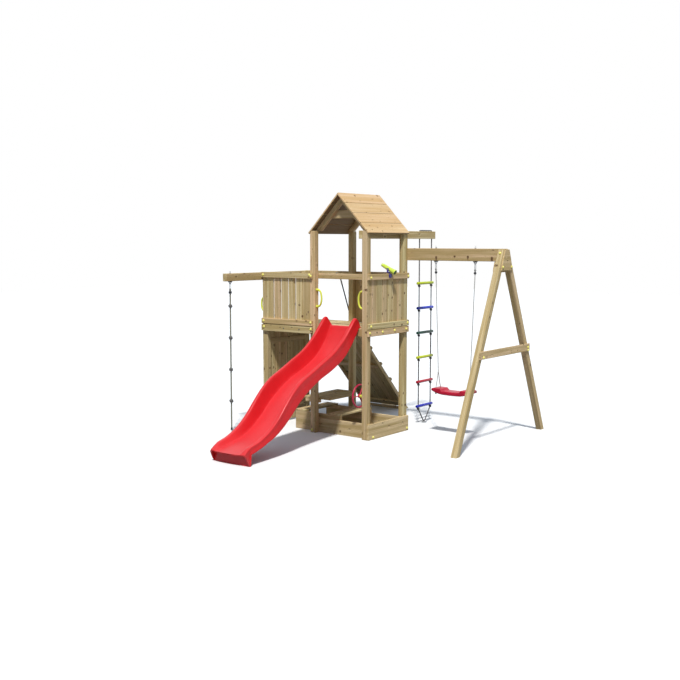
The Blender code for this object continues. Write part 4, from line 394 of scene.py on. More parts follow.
# Runs a node tree on an object and leaves the plain mesh that it makes, under the object's own name
def applyTree(obj, tree, values):
    step = obj.modifiers.new("tree", "NODES")
    step.node_group = tree
    for item in tree.interface.items_tree:
        if item.in_out == "INPUT" and item.name in values:
            step[item.identifier] = values[item.name]
    graph = bpy.context.evaluated_depsgraph_get()
    graph.update()
    mesh = bpy.data.meshes.new_from_object(obj.evaluated_get(graph))
    name = obj.name
    bpy.data.objects.remove(obj, do_unlink=True)
    return newObject(name, mesh)


def joinObjects(name, objects):
    if len(objects) > 1:
        with bpy.context.temp_override(
            active_object=objects[0], object=objects[0], selected_objects=objects, selected_editable_objects=objects,
        ):
            bpy.ops.object.join()
    objects[0].name = objects[0].data.name = name
    return objects[0]


def settle(piece, body, slotName, *replaced):
    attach(piece, body)
    if replaced:
        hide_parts(*replaced)
    return piece


# One chamfered board, cut off beyond each (place, way out). Its grain is the place in the board, along it first.
def cutBoard(low, high, chamfer=0.003, cuts=(), matrix=Matrix()):
    low, high = Vector(low), Vector(high)
    half, middle = (high - low) / 2, (high + low) / 2
    order = sorted(range(3), key=lambda i: -half[i])
    edge = min(chamfer, min(half) * 0.45)
    bm = bmesh.new()
    grainLayer = bm.verts.layers.float_vector.new("grain")
    signs = list(product((-1, 1), repeat=3))
    corner = {}
    for sign in signs:
        for flat in range(3):
            spot = Vector([sign[i] * (half[i] - (0 if i == flat else edge)) for i in range(3)])
            corner[sign, flat] = bm.verts.new(spot + middle)
            corner[sign, flat][grainLayer] = [spot[i] for i in order]

    def cornerAt(flat, sign):
        return corner[(sign[0], sign[1], sign[2]), flat]

    for flat in range(3):
        u, v = [i for i in range(3) if i != flat]
        for side in (-1, 1):
            turns = ((-1, -1), (1, -1), (1, 1), (-1, 1))
            bm.faces.new([cornerAt(flat, {flat: side, u: a, v: b}) for a, b in turns])
    for run in range(3):
        u, v = [i for i in range(3) if i != run]
        for a, b in product((-1, 1), repeat=2):
            ends = ((-1, u), (1, u), (1, v), (-1, v))
            bm.faces.new([cornerAt(flat, {run: r, u: a, v: b}) for r, flat in ends])
    for sign in signs:
        bm.faces.new([corner[sign, flat] for flat in range(3)])
    for point, normal in cuts:
        result = bmesh.ops.bisect_plane(
            bm, geom=bm.verts[:] + bm.edges[:] + bm.faces[:], plane_co=point, plane_no=normal, clear_outer=True,
        )
        rim = [item for item in result["geom_cut"] if isinstance(item, bmesh.types.BMEdge)]
        bmesh.ops.contextual_create(bm, geom=rim)
    bmesh.ops.recalc_face_normals(bm, faces=bm.faces)
    bm.verts.index_update()
    board = dict(
        points=[matrix @ vert.co for vert in bm.verts], grain=[tuple(vert[grainLayer]) for vert in bm.verts],
        faces=[[vert.index for vert in face.verts] for face in bm.faces], tone=dice.random(),
    )
    bm.free()
    return board


def makeBoards(boards, material=pine, withTone=True):
    points, faces, grain, tone = [], [], [], []
    for board in boards:
        faces += [[len(points) + i for i in face] for face in board["faces"]]
        points += board["points"]
        grain += [c for place in board["grain"] for c in place]
        tone += [board["tone"]] * len(board["points"])
    mesh = bpy.data.meshes.new("boards")
    mesh.from_pydata(points, [], faces)
    mesh.attributes.new("grain", "FLOAT_VECTOR", "POINT").data.foreach_set("vector", grain)
    if withTone:
        mesh.attributes.new("tone", "FLOAT", "POINT").data.foreach_set("value", tone)
    mesh.materials.append(material)
    return newObject("boards", mesh)


def boardRow(low, high, count, step, seed, chamfer=0.003, matrix=Matrix()):
    board = makeBoards([cutBoard(low, high, chamfer)], withTone=False)
    row = applyTree(board, rowTree, {"Count": count, "Step": step, "Seed": seed, "Material": pine})
    row.data.transform(matrix)
    return row


# One wooden piece of the frame from lists of boards and from rows, named for the node that it replaces
def settleWood(node, *parts, material=pine, slotName="treated_pine"):
    objects = [makeBoards(part, material) if isinstance(part, list) else part for part in parts]
    words = node.split("_")
    piece = joinObjects(words[0] + "".join(word.title() for word in words[1:]), objects)
    return settle(piece, "frame", slotName, node)


# Cuts that are given in the playset's own axes, for a board that a matrix then sets
def cutsFor(matrix, *cuts):
    inverse = matrix.inverted()
    return [(inverse @ Vector(point), inverse.to_3x3() @ Vector(way)) for point, way in cuts]


def meshObject(name, bm, material):
    bmesh.ops.recalc_face_normals(bm, faces=bm.faces)
    mesh = bpy.data.meshes.new(name)
    bm.to_mesh(mesh)
    bm.free()
    mesh.materials.append(material)
    mesh.shade_smooth()
    mesh.set_sharp_from_angle(angle=math.radians(38))
    return newObject(name, mesh)


# Faces from each ring of points to the next. A ring of one point is a pole.
def skinRings(bm, rings, capEnds=True):
    for ring, following in zip(rings, rings[1:]):
        sides = max(len(ring), len(following))
        for k in range(sides):
            j = (k + 1) % sides
            corners = [
                ring[k % len(ring)], ring[j % len(ring)], following[j % len(following)], following[k % len(following)],
            ]
            bm.faces.new(list(dict.fromkeys(corners)))
    if capEnds:
        bm.faces.new(rings[0])
        bm.faces.new(rings[-1])


# A round bar through points, with its own radius at each, as a closed mesh
def sweep(name, points, radii, material, sides=16, closed=False, flatten=1.0):
    spots = [Vector(p) for p in points]
    count = len(spots)
    radii = [radii] * count if isinstance(radii, float) else radii
    tangents = []
    for i in range(count):
        before = spots[i - 1] if closed or i > 0 else spots[i]
        after = spots[(i + 1) % count] if closed or i < count - 1 else spots[i]
        tangents.append((after - before).normalized())
    helper = Vector((0, 0, 1)) if abs(tangents[0].z) < 0.9 else Vector((1, 0, 0))
    side = tangents[0].cross(helper).normalized()
    bm = bmesh.new()
    rings = []
    for i in range(count):
        side = (side - tangents[i] * side.dot(tangents[i])).normalized()
        up = tangents[i].cross(side)
        angles = [2 * math.pi * k / sides for k in range(sides)]
        rings.append([
            bm.verts.new(spots[i] + radii[i] * (math.cos(angle) * side + flatten * math.sin(angle) * up))
            for angle in angles
        ])
    if closed:
        shift = min(range(sides), key=lambda s: (rings[0][s].co - rings[-1][0].co).length)
        rings.append(rings[0][shift:] + rings[0][:shift])
    skinRings(bm, rings, capEnds=not closed)
    return meshObject(name, bm, material)


# A solid turned from an outline of (distance along the axis, radius), set with a matrix whose X is the axis.
# Where the outline doesn't reach the axis, flat ends close it, unless it is bored through.
def turned(name, outline, material, matrix, sides=32, bored=False):
    if not bored:
        outline = [(outline[0][0], 0.0)] * (outline[0][1] > 0) + list(outline)
        outline += [(outline[-1][0], 0.0)] * (outline[-1][1] > 0)
    bm = bmesh.new()
    angles = [2 * math.pi * k / sides for k in range(sides)]
    rings = [
        [bm.verts.new(matrix @ Vector((along, radius * math.cos(a), radius * math.sin(a)))) for a in angles]
        if radius else [bm.verts.new(matrix @ Vector((along, 0, 0)))]
        for along, radius in outline
    ]
    skinRings(bm, rings, capEnds=False)
    return meshObject(name, bm, material)


def axisMatrix(place, direction):
    return Matrix.Translation(place) @ Vector(direction).to_track_quat("X", "Z").to_matrix().to_4x4()


def straightRoute(start, end, steps):
    return [tuple(a + (b - a) * k / steps for a, b in zip(start, end)) for k in range(steps + 1)]


# A circle that stands in front of the viewer, or from the side where across is 1
def circleRoute(centre, radius, count, across=0):
    points = []
    for k in range(count):
        point = list(centre)
        point[across] += radius * math.cos(2 * math.pi * k / count)
        point[2] += radius * math.sin(2 * math.pi * k / count)
        points.append(point)
    return points


def smoothRoute(points, steps):
    route = []
    count = len(points)
    for i in range(count - 1):
        p0, p1, p2, p3 = (Vector(points[min(max(j, 0), count - 1)]) for j in range(i - 1, i + 3))
        for t in [s / steps for s in range(steps)]:
            route.append(
                0.5 * (2 * p1 + (p2 - p0) * t + (2 * p0 - 5 * p1 + 4 * p2 - p3) * t ** 2
                       + (3 * p1 - p0 - 3 * p2 + p3) * t ** 3)
            )
    route.append(Vector(points[-1]))
    return route


def splineValue(table, at):
    xs, ys = zip(*table)
    if at <= xs[0]:
        return ys[0]
    if at >= xs[-1]:
        return ys[-1]
    k = max(i for i in range(len(xs) - 1) if xs[i] <= at)
    slopes = []
    for i in (k, k + 1):
        a, b = max(i - 1, 0), min(i + 1, len(xs) - 1)
        slopes.append((ys[b] - ys[a]) / (xs[b] - xs[a]))
    span = xs[k + 1] - xs[k]
    t = (at - xs[k]) / span
    return (
        (2 * t ** 3 - 3 * t ** 2 + 1) * ys[k] + (t ** 3 - 2 * t ** 2 + t) * span * slopes[0]
        + (3 * t ** 2 - 2 * t ** 3) * ys[k + 1] + (t ** 3 - t ** 2) * span * slopes[1]
    )


# A rope along a route, through the rope tree. Points closer than a strand's turn keep the lay round.
def layRope(name, points, look, material):
    fine = []
    for a, b in zip(points, points[1:]):
        a, b = Vector(a), Vector(b)
        parts = max(1, round((b - a).length / (look["lay"] / 6)))
        fine += [a.lerp(b, k / parts) for k in range(parts)]
    fine.append(Vector(points[-1]))
    data = bpy.data.curves.new(name, "CURVE")
    data.dimensions = "3D"
    spline = data.splines.new("POLY")
    spline.points.add(len(fine) - 1)
    for i, point in enumerate(fine):
        spline.points[i].co = (*point, 1.0)
    values = {"Radius": look["radius"], "Lay": look["lay"], "Material": material}
    return applyTree(newObject(name, data), ropeTree, values), fine


# An overhand knot: nearly two and a half turns of the rope round itself, drawn tight
def makeKnot(name, place, ropeRadius, material, size=1.0, direction=(0, 0, 1)):
    turn = axisMatrix(place, direction)
    turns, steps, thick = 2.4, 34, ropeRadius * size
    points, radii = [], []
    for k in range(steps + 1):
        t = k / steps
        angle = 2 * math.pi * turns * t
        away = thick * (0.55 + 0.6 * math.sin(math.pi * t))
        along = thick * 1.1 * (2 * t - 1) + 0.35 * ropeRadius * math.sin(angle)
        points.append(turn @ Vector((along, away * math.cos(angle), away * math.sin(angle))))
        radii.append(thick * (0.55 + 0.30 * min(1.0, 6 * min(k, steps - k) / steps)))
    return sweep(name, points, radii, material, sides=10)


# Climbing rope: one hanging length with four knots to stand on
climbing = dict(
    x=-1.3963, y=-0.696, top=1.6260, end=0.015, radius=0.009, lay=0.052, knots=(1.45, 1.085, 0.72, 0.355),
    knotSize=1.4, eyeHeight=1.6358, eyeRadius=0.0098, eyeRope=0.006, ferrule=1.590,
)
route = straightRoute(
    (climbing["x"], climbing["y"], climbing["top"]), (climbing["x"], climbing["y"], climbing["end"]), 30,
)
climbingRope, climbingPath = layRope("climbingRope", route, climbing, mossRope)
settle(climbingRope, "climb_rope", "climb_rope", "climb_rope")
climbingParts = [
    makeKnot(
        f"climbingKnot{k + 1}", (climbing["x"], climbing["y"], height), climbing["radius"], greyRope,
        climbing["knotSize"],
    ) for k, height in enumerate(climbing["knots"])
]
eye = circleRoute((climbing["x"], climbing["y"], climbing["eyeHeight"]), climbing["eyeRadius"], 24)
climbingParts.append(sweep("climbingRopeEye", eye, climbing["eyeRope"], mossRope, sides=12, closed=True))
for name, foot, outline in (
    ("climbingRopeFerrule", climbing["ferrule"], [
        (0.0, 0.0115), (0.004, 0.0175), (0.014, 0.0195), (0.026, 0.0175), (0.033, 0.0115),
    ]),
    ("climbingRopeEnd", climbing["end"], [(0.0, 0.0105), (0.002, 0.0117), (0.026, 0.0117), (0.028, 0.0105)]),
):
    upright = axisMatrix((climbing["x"], climbing["y"], foot), (0, 0, 1))
    climbingParts.append(turned(name, outline, footBlack, upright, 24))
for part in climbingParts:
    settle(part, "climb_rope", "climb_rope")

# Swing: one rope from each hook down to the split, then a bridle through the seat, which is thin and upturned at
# its ends, with a raised block over each pair of rope holes
swing = dict(
    middleX=0.7695, y=0.6453, pivot=1.938, hookHalf=0.2525, strandHalf=0.2075, depthHalf=0.05, split=0.71,
    radius=0.005, lay=0.032, linkFoot=1.8708, eyeRadius=0.0088, splitKnot=0.9, seatKnot=1.15,
    ferrule=((0.0, 0.0070), (0.004, 0.0130), (0.012, 0.0155), (0.020, 0.0140), (0.027, 0.0090), (0.034, 0.0065)),
)
seat = dict(
    length=0.500, depth=0.170, foot=0.462, rounding=0.012,
    under=((0.00, 0.000), (0.40, 0.002), (0.62, 0.009), (0.84, 0.025), (1.00, 0.042)),
    top=((0.00, 0.043), (0.38, 0.045), (0.44, 0.048), (0.51, 0.068), (0.56, 0.071), (0.92, 0.071), (0.98, 0.067),
         (1.00, 0.060)),
)
for side, word in ((-1, "Left"), (1, "Right")):
    topX = swing["middleX"] + side * swing["hookHalf"]
    footX = swing["middleX"] + side * swing["strandHalf"]
    start = swing["linkFoot"] - swing["eyeRadius"]
    route = straightRoute((topX, swing["y"], start), (footX, swing["y"], swing["split"] - 0.0075), 26)
    rope, path = layRope(f"swingRope{word}", route, swing, paleRope)
    settle(rope, "swing", "swing_rope", f"swing_rope_{word.lower()}")
    eye = circleRoute((topX, swing["y"], swing["linkFoot"]), swing["eyeRadius"], 24)
    ferruleAt = axisMatrix((topX + (footX - topX) * 0.035, swing["y"], start - 0.038), (0, 0, 1))
    splitAt = (footX, swing["y"], swing["split"] - 0.002)
    parts = [
        sweep(f"swingRopeEye{word}", eye, swing["radius"], paleRope, sides=12, closed=True),
        turned(f"swingFerrule{word}", swing["ferrule"], footBlack, ferruleAt, 24),
        makeKnot(f"swingSplitKnot{word}", splitAt, swing["radius"], paleRope, swing["splitKnot"]),
    ]
    for part in parts:
        settle(part, "swing", "swing_rope")
    below = seat["foot"] + splineValue(seat["under"], 2 * swing["strandHalf"] / seat["length"]) - 0.0112
    strand = [(footX, swing["y"] - depth * swing["depthHalf"], height) for depth, height in (
        (1.0, below - 0.014), (1.0, below), (1.0, below + 0.010), (0.98, below + 0.060),
        (0.50, (below + swing["split"]) / 2 + 0.020), (0.14, swing["split"] - 0.012),
    )]
    strand += [(footX, swing["y"], swing["split"])] + [(x, 2 * swing["y"] - y, z) for x, y, z in reversed(strand)]
    route = smoothRoute(strand, 4)
    bridle, path = layRope(f"swingBridle{word}", route, swing, paleRope)
    settle(bridle, "swing", "swing_rope")
    knots = [
        makeKnot(
            f"seatKnot{word}{place}", (footX, swing["y"] + depth * swing["depthHalf"], below - 0.002),
            swing["radius"], paleRope, swing["seatKnot"],
        ) for depth, place in ((-1, "Front"), (1, "Rear"))
    ]
    for knot in knots:
        settle(knot, "swing", "swing_rope")

bm = bmesh.new()
rings = []
for share in [k / 40 for k in range(-40, 41)]:
    out = abs(share)
    foot = seat["foot"] + splineValue(seat["under"], out)
    top = seat["foot"] + splineValue(seat["top"], out)
    half = seat["depth"] / 2 * (1.0 if out < 0.93 else 1.0 - 0.06 * ((out - 0.93) / 0.07) ** 2)
    soft = min(seat["rounding"], (top - foot) / 3)
    section = []
    for cy, cz, begin in (
        (half - soft, foot + soft, -90), (half - soft, top - soft, 0), (-half + soft, top - soft, 90),
        (-half + soft, foot + soft, 180),
    ):
        for angle in [math.radians(begin + 30 * a) for a in range(4)]:
            section.append((cy + soft * math.cos(angle), cz + soft * math.sin(angle)))
    rings.append([
        bm.verts.new((swing["middleX"] + share * seat["length"] / 2, swing["y"] + y, z)) for y, z in section
    ])
skinRings(bm, rings)
settle(meshObject("swingSeat", bm, seatRed), "swing", "seat_red", "seat")

# Rope ladder: one rope from the ground anchor up one side, over the beam and down the other
ladder = dict(
    x=0.0642, middle=1.132, half=0.132, radius=0.007, lay=0.036, beamTop=2.303, beamFoot=2.214, foot=0.0243,
    rungTop=1.690, pitch=0.295, rungRadius=0.0168, rungLength=0.340, count=6, knotSize=1.3, knotDrop=0.014,
)
rungHeights = [ladder["rungTop"] - k * ladder["pitch"] for k in range(ladder["count"])]
over = ladder["beamTop"] + ladder["radius"] + 0.001
leg = [(away, ladder["foot"] + up) for away, up in ((0.002, 0.0), (0.010, 0.001), (0.020, 0.006), (0.030, 0.018))]
leg += [
    (ladder["half"], height) for height in (rungHeights[-1] - 0.034, 0.35, 0.8, 1.3, 1.8, ladder["beamFoot"])
]
leg += [(ladder["half"], ladder["beamTop"] - 0.004), (ladder["half"] - 0.003, over - 0.003),
        (ladder["half"] - 0.010, over)]
route = [(ladder["x"], ladder["middle"] - away, z) for away, z in leg]
route += [(ladder["x"], ladder["middle"] + away, z) for away, z in reversed(leg)]
ladderRope, path = layRope("ladderRope", route, ladder, greyRope)
settle(ladderRope, "frame", "ladder_rope", "ladder_rope")
knots = []
for k, height in enumerate(rungHeights):
    for side, word in ((-1, "Near"), (1, "Far")):
        spot = (
            ladder["x"], ladder["middle"] + side * ladder["half"], height - ladder["rungRadius"] - ladder["knotDrop"],
        )
        knots.append(makeKnot(f"rungKnot{word}{k + 1}", spot, ladder["radius"], footBlack, ladder["knotSize"]))
for knot in knots:
    settle(knot, "frame", "ladder_rope")

# Ramp rope: knotted in front of the rear rail, out through it and down on to the ramp
ramp = dict(
    foot=1.87, slope=1.023, right=-0.653, left=-1.333, stringer=0.028, stringerDepth=0.052, board=0.018,
    boards=6, cleats=5, cleatHeight=0.030, cleatWidth=0.040, cleatStart=0.215, cleatPitch=0.215, top=0.6356,
    seam=0.0008, ties=3, tieHalf=0.035, tongueLength=0.090, tongueEnd=1.980,
)
rampAngle = math.atan(ramp["slope"])
rampCrown = ramp["foot"] - deckTop / ramp["slope"]


def onRamp(distance, above):
    y = rampCrown + distance * math.cos(rampAngle) + above * math.sin(rampAngle)
    return y, deckTop - distance * math.sin(rampAngle) + above * math.cos(rampAngle)


handRope = dict(
    x=-0.863, height=1.7965, radius=0.0085, lay=0.048, above=0.042, topKnot=0.007,
    hanging=(
        (-0.022, 0.000), (0.013, 0.000), (0.038, -0.004), (0.056, -0.040), (0.085, -0.110), (0.150, -0.260),
        (0.230, -0.450), (0.310, -0.640), (0.390, -0.805),
    ),
    lying=(0.56, 0.68, 0.80, 0.92, 1.04, 1.16),
)
route = [(handRope["x"], rear + back, handRope["height"] + drop) for back, drop in handRope["hanging"]]
route += [(handRope["x"], *onRamp(distance, handRope["above"])) for distance in handRope["lying"]]
route = smoothRoute(route, 4)
rampRope, path = layRope("rampRope", route, handRope, greyRope)
settle(rampRope, "frame", "ladder_rope", "ramp_rope")
topKnotAt = (handRope["x"], rear - 0.012, handRope["height"])
knots = [
    makeKnot("rampRopeTopKnot", topKnotAt, handRope["topKnot"], greyRope, 1.15, (0, 1, 0)),
    makeKnot("rampRopeEndKnot", route[-4], handRope["radius"], greyRope, 1.0, route[-1] - route[-5]),
]
for knot in knots:
    settle(knot, "frame", "ladder_rope")
print("ropes are laid")

# Posts: the tower's have their outer top corner cut to the slope of the roof
roof = dict(
    ridge=2.720, eaves=2.280, half=0.425, board=0.020, boards=4, overhang=0.004, postTop=2.303, annexPostTop=1.826,
    postChamfer=0.004, seam=0.0012,
)
pitch = (roof["ridge"] - roof["eaves"]) / roof["half"]
roofAngle = math.atan(pitch)
roofLow = roof["ridge"] - roof["board"] / math.cos(roofAngle)
for word, x, side, top in (
    ("right", right - post, 1, roof["postTop"]), ("left", left, -1, roof["postTop"]),
    ("annex", annexLeft, 0, roof["annexPostTop"]),
):
    for end, y in (("front", front), ("rear", rear - post)):
        cuts = [((towerMiddle, y, roofLow - gap), Vector((side * pitch, 0, 1)).normalized())] if side else []
        settleWood(f"post_{end}_{word}" if side else f"post_{word}_{end}", [
            cutBoard((x, y, 0), (x + post, y + post, top), roof["postChamfer"], cuts),
        ])

# Single timbers that keep the box of their solid, less the room for bolt caps where that is the outermost face
capRoom = 0.011
for node, chamfer in (
    ("rope_beam", 0.004), ("ladder_beam", 0.004), ("swing_beam", 0.004), ("crossbar", 0.003), ("rail_front", 0.003),
    ("rail_annex_rear", 0.003), ("sandbox_front", 0.003), ("sandbox_rear", 0.003), ("sandbox_right", 0.003),
):
    low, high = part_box(node)
    room = capRoom if node == "crossbar" else 0.0
    settleWood(node, [cutBoard(low, (high.x - room, high.y, high.z), chamfer)])

# A-frame: slanting legs cut to the ground and to the beam, a bar across and a plate on each face
aFrame = dict(
    end=1.400, leg=0.068, lean=0.446, spread=0.9975, depth=0.072, top=2.100, beamHalf=0.0353, uncut=(-0.1, 2.45),
    plateFoot=1.875, plateFootWidth=0.250, plateTopWidth=0.090, innerPlateDrop=0.022,
)
for node, side in (("leg_front", -1), ("leg_rear", 1)):
    lean = side * aFrame["lean"]
    up, across = Vector((0, -lean, 1)).normalized(), Vector((0, 1, lean)).normalized()
    halfLeg = aFrame["leg"] / 2
    halfDepth = aFrame["depth"] * math.cos(math.atan(aFrame["lean"])) / 2
    foot = (aFrame["end"] - halfLeg, swing["y"] + side * (aFrame["spread"] - aFrame["depth"] / 2), 0)
    matrix = Matrix.Translation(foot) @ Matrix((
        (1, 0, 0, 0), (0, across.y, up.y, 0), (0, across.z, up.z, 0), (0, 0, 0, 1),
    ))
    cuts = cutsFor(
        matrix, ((0, 0, 0), (0, 0, -1)), ((0, 0, aFrame["top"]), (0, 0, 1)),
        ((0, swing["y"] + side * aFrame["beamHalf"], 0), (0, -side, 0)),
    )
    start, end = aFrame["uncut"]
    settleWood(node, [cutBoard((-halfLeg, -halfDepth, start), (halfLeg, halfDepth, end), 0.004, cuts, matrix)])
plateHalf = aFrame["plateFootWidth"] / 2
plateSlope = (aFrame["plateFootWidth"] - aFrame["plateTopWidth"]) / 2 / (aFrame["top"] - aFrame["plateFoot"])
cuts = [
    ((0, swing["y"] + side * plateHalf, aFrame["plateFoot"]), Vector((0, side, plateSlope)).normalized())
    for side in (-1, 1)
]
for node, room, drop in (("gusset_outer", capRoom, 0.0), ("gusset_inner", 0.0, aFrame["innerPlateDrop"])):
    low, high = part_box(node)
    settleWood(node, [cutBoard(
        (low.x, swing["y"] - plateHalf, low.z - drop), (high.x - room, swing["y"] + plateHalf, high.z), cuts=cuts,
    )])
print("posts, beams and the A-frame stand")

# Floors: boards along X on joists
floors = dict(
    joist=0.025, towerBoards=6, annexBoards=7, spacing=0.006, endInset=0.003, chamfer=0.002, joistInset=0.005,
    headerMargin=0.003, headerInset=0.029, annexLap=0.045, fasciaFoot=1.149, fasciaTop=1.219,
)
joist, spacing, chamfer = floors["joist"], floors["spacing"], floors["chamfer"]
joistTop = floorFoot + letIn
headerFoot, headerTop = joistFoot - floors["headerMargin"], floorFoot + floors["headerMargin"]
boards = [
    cutBoard((x, innerFront, joistFoot), (x + joist, innerRear, joistTop), chamfer)
    for x in (right - floors["joistInset"] - joist, left + floors["joistInset"], towerMiddle - joist / 2)
]
boards += [
    cutBoard(
        (left + floors["headerInset"], y, headerFoot), (right - floors["headerInset"], y + joist, headerTop), chamfer,
    ) for y in (innerFront + letIn, innerRear - joist - letIn)
]
boards.append(cutBoard((right + gap, front, floors["fasciaFoot"]), (right + gap + joist, rear, floors["fasciaTop"])))
step = (innerRear - innerFront + spacing) / floors["towerBoards"]
settleWood("deck_tower", boards, boardRow(
    (left + floors["endInset"], innerFront, floorFoot),
    (right - floors["endInset"], innerFront + step - spacing, deckTop), floors["towerBoards"], (0, step, 0), 3, chamfer,
))
innerLeft, innerRight = annexLeft + post + gap, left - gap
boards = [
    cutBoard((x, front - letIn - gap, joistFoot), (x + joist, rear + letIn + gap, joistTop), chamfer)
    for x in (innerLeft, (innerLeft + innerRight - joist) / 2, innerRight - joist)
]
endJoist = annexLeft + floors["joistInset"]
boards.append(cutBoard((endJoist, innerFront, joistFoot), (endJoist + joist, innerRear, joistTop), chamfer))
boards += [
    cutBoard((annexLeft, y, headerFoot), (left + floors["annexLap"], y + joist, headerTop), chamfer)
    for y in (front - gap - joist, rear + gap)
]
step = (rear - front + spacing) / floors["annexBoards"]
boards += [
    cutBoard((innerLeft, y, floorFoot), (innerRight, y + step - spacing, deckTop), chamfer)
    for y in (front, front + (floors["annexBoards"] - 1) * step)
]
settleWood("deck_annex", boards, boardRow(
    (annexLeft + floors["endInset"], front + step, floorFoot), (innerRight, front + 2 * step - spacing, deckTop),
    floors["annexBoards"] - 2, (0, step, 0), 5, chamfer,
))

# Railing panels: two rails outside, and slats behind them, set with a matrix
rails = dict(height=0.063, thickness=0.025, lowFoot=1.225, topFoot=1.765, slat=0.018, slatDrop=0.025)


def makePanel(node, length, slatStart, slatEnd, spacings, place, turn, seed):
    matrix = Matrix.Translation(place) @ Matrix.Rotation(turn, 4, "Z")
    parts = [[
        cutBoard((0, gap, foot), (length, gap + rails["thickness"], foot + rails["height"]), matrix=matrix)
        for foot in (rails["lowFoot"], rails["topFoot"])
    ]]
    last = len(spacings)
    width = (slatEnd - slatStart - sum(spacings)) / (last + 1)
    x, first = slatStart, 0
    for i in range(last + 1):
        if i == last or spacings[i] != spacings[first]:  # the end of a run of slats with one spacing
            pace = width + spacings[first]
            start = x - (i - first) * pace
            parts.append(boardRow(
                (start, letIn + gap - rails["slat"], deckTop + gap),
                (start + width, letIn + gap, plan["railTop"] - rails["slatDrop"]),
                i - first + 1, (pace, 0, 0), seed + i, matrix=matrix,
            ))
            first = i + 1
        x += width + (spacings[i] if i < last else 0)
    settleWood(node, *parts)


lap = floors["annexLap"]
annexRail = left - annexLeft + lap
makePanel(
    "panel_annex_front", annexRail, lap + gap, annexRail - post - gap, [0.014] * 5, (left + lap, front, 0), math.pi, 21,
)
spacings = [0.003, 0.003, 0.003, 0.010, 0.003]
panelInset = 0.033
for node, length, start, place, turn, seed in (
    ("panel_right", 0.790, post, (right, rear, 0), -math.pi / 2, 41),
    ("panel_rear", 0.767, post - panelInset, (left + panelInset, rear, 0), 0.0, 61),
):
    makePanel(node, length, start + gap, length - post - gap, spacings, place, turn, seed)
print("floors and railings are on")


# Sets a board on a slope of the roof: its X runs down the slope, and its Z out of it
def roofMatrix(side, x, top):
    return Matrix.Translation((x, 0, top)) @ Matrix((
        (side * math.cos(roofAngle), 0, side * math.sin(roofAngle), 0), (0, 1, 0, 0),
        (-math.sin(roofAngle), 0, math.cos(roofAngle), 0), (0, 0, 0, 1),
    ))


# Roof: each slope is a row of boards from the ridge down, and the top one is mitred
boardWidth = math.hypot(roof["half"], roof["ridge"] - roof["eaves"]) / roof["boards"]
mitre = ((0, 0, 0), (-math.cos(roofAngle), 0, -math.sin(roofAngle)))
for node, side in (("roof_left", -1), ("roof_right", 1)):
    matrix = roofMatrix(side, towerMiddle + side * gap / 2, roof["ridge"])
    settleWood(node, [
        cutBoard(
            (k * boardWidth + (roof["seam"] if k else -0.02), front - roof["overhang"], -roof["board"]),
            ((k + 1) * boardWidth - roof["seam"], rear + roof["overhang"], 0), cuts=[] if k else [mitre], matrix=matrix,
        ) for k in range(roof["boards"])
    ], material=roofPine, slotName="roof_pine")

# Gables: a rafter each side, mitred at the ridge, and a collar inside
gable = dict(
    width=0.045, depth=0.055, setback=0.068, collarFoot=2.440, collar=0.090, collarHalf=0.200, collarThick=0.020,
    uncut=(-0.1, 0.75),
)
start, end = gable["uncut"]
for node, outer, inward in (("gable_front", front + gable["setback"], 1), ("gable_rear", rear - gable["setback"], -1)):
    nearFace, farFace = sorted((outer, outer + inward * gable["width"]))
    boards = []
    for side in (-1, 1):
        matrix = roofMatrix(side, towerMiddle, roofLow - gap)
        cuts = cutsFor(matrix, ((towerMiddle, 0, 0), (-side, 0, 0)), ((0, 0, roof["postTop"] + gap), (0, 0, -1)))
        boards.append(cutBoard((start, nearFace, -gable["depth"]), (end, farFace, 0), cuts=cuts, matrix=matrix))
    inner = outer + inward * (gable["width"] - letIn)
    nearFace, farFace = sorted((inner, inner + inward * gable["collarThick"]))
    collarFoot, collarHalf = gable["collarFoot"], gable["collarHalf"]
    cuts = [
        ((towerMiddle + side * collarHalf, 0, collarFoot), Vector((side * pitch, 0, 1)).normalized())
        for side in (-1, 1)
    ]
    boards.append(cutBoard(
        (towerMiddle - collarHalf, nearFace, collarFoot),
        (towerMiddle + collarHalf, farFace, collarFoot + gable["collar"]), 0.002, cuts,
    ))
    settleWood(node, boards)
print("the roof is on")

# Climbing ramp: stringers and ties, boards between them, and cleats across
stringer, seam = ramp["stringer"], ramp["seam"]
insideHalf = (ramp["right"] - ramp["left"] - 2 * stringer) / 2
rampMiddle = (ramp["right"] + ramp["left"]) / 2
rampLength = deckTop / math.sin(rampAngle)
onSlope = Matrix.Translation((rampMiddle, rampCrown, deckTop)) @ Matrix.Rotation(-rampAngle, 4, "X")
cuts = cutsFor(
    onSlope, ((0, 0, 0), (0, 0, -1)), ((0, 0, deckTop), (0, 0, 1)), ((0, ramp["top"], 0), (0, -1, 0)),
)
boards = [
    cutBoard((x, -0.2, -ramp["stringerDepth"]), (x + stringer, rampLength + 0.1, 0), cuts=cuts, matrix=onSlope)
    for x in (-insideHalf - stringer, insideHalf)
]
for distance in [rampLength * (0.04 + 0.44 * k) for k in range(ramp["ties"])]:
    boards.append(cutBoard(
        (-insideHalf - letIn, distance - ramp["tieHalf"], -0.047),
        (insideHalf + letIn, distance + ramp["tieHalf"], -0.017), 0.002, matrix=onSlope,
    ))
tongueStart = ramp["foot"] - ramp["stringerDepth"] / math.sin(rampAngle) - 0.060
boards.append(cutBoard(
    (ramp["left"] + 0.027, tongueStart, 0), (ramp["right"] - 0.027, tongueStart + ramp["tongueLength"], 0.020), 0.002,
))
boards.append(cutBoard(
    (rampMiddle - 0.1, tongueStart + 0.010, 0), (rampMiddle + 0.1, ramp["tongueEnd"], 0.012), 0.002,
))
settleWood("ramp_frame", boards)
boardStep = (2 * insideHalf - 2 * gap) / ramp["boards"]
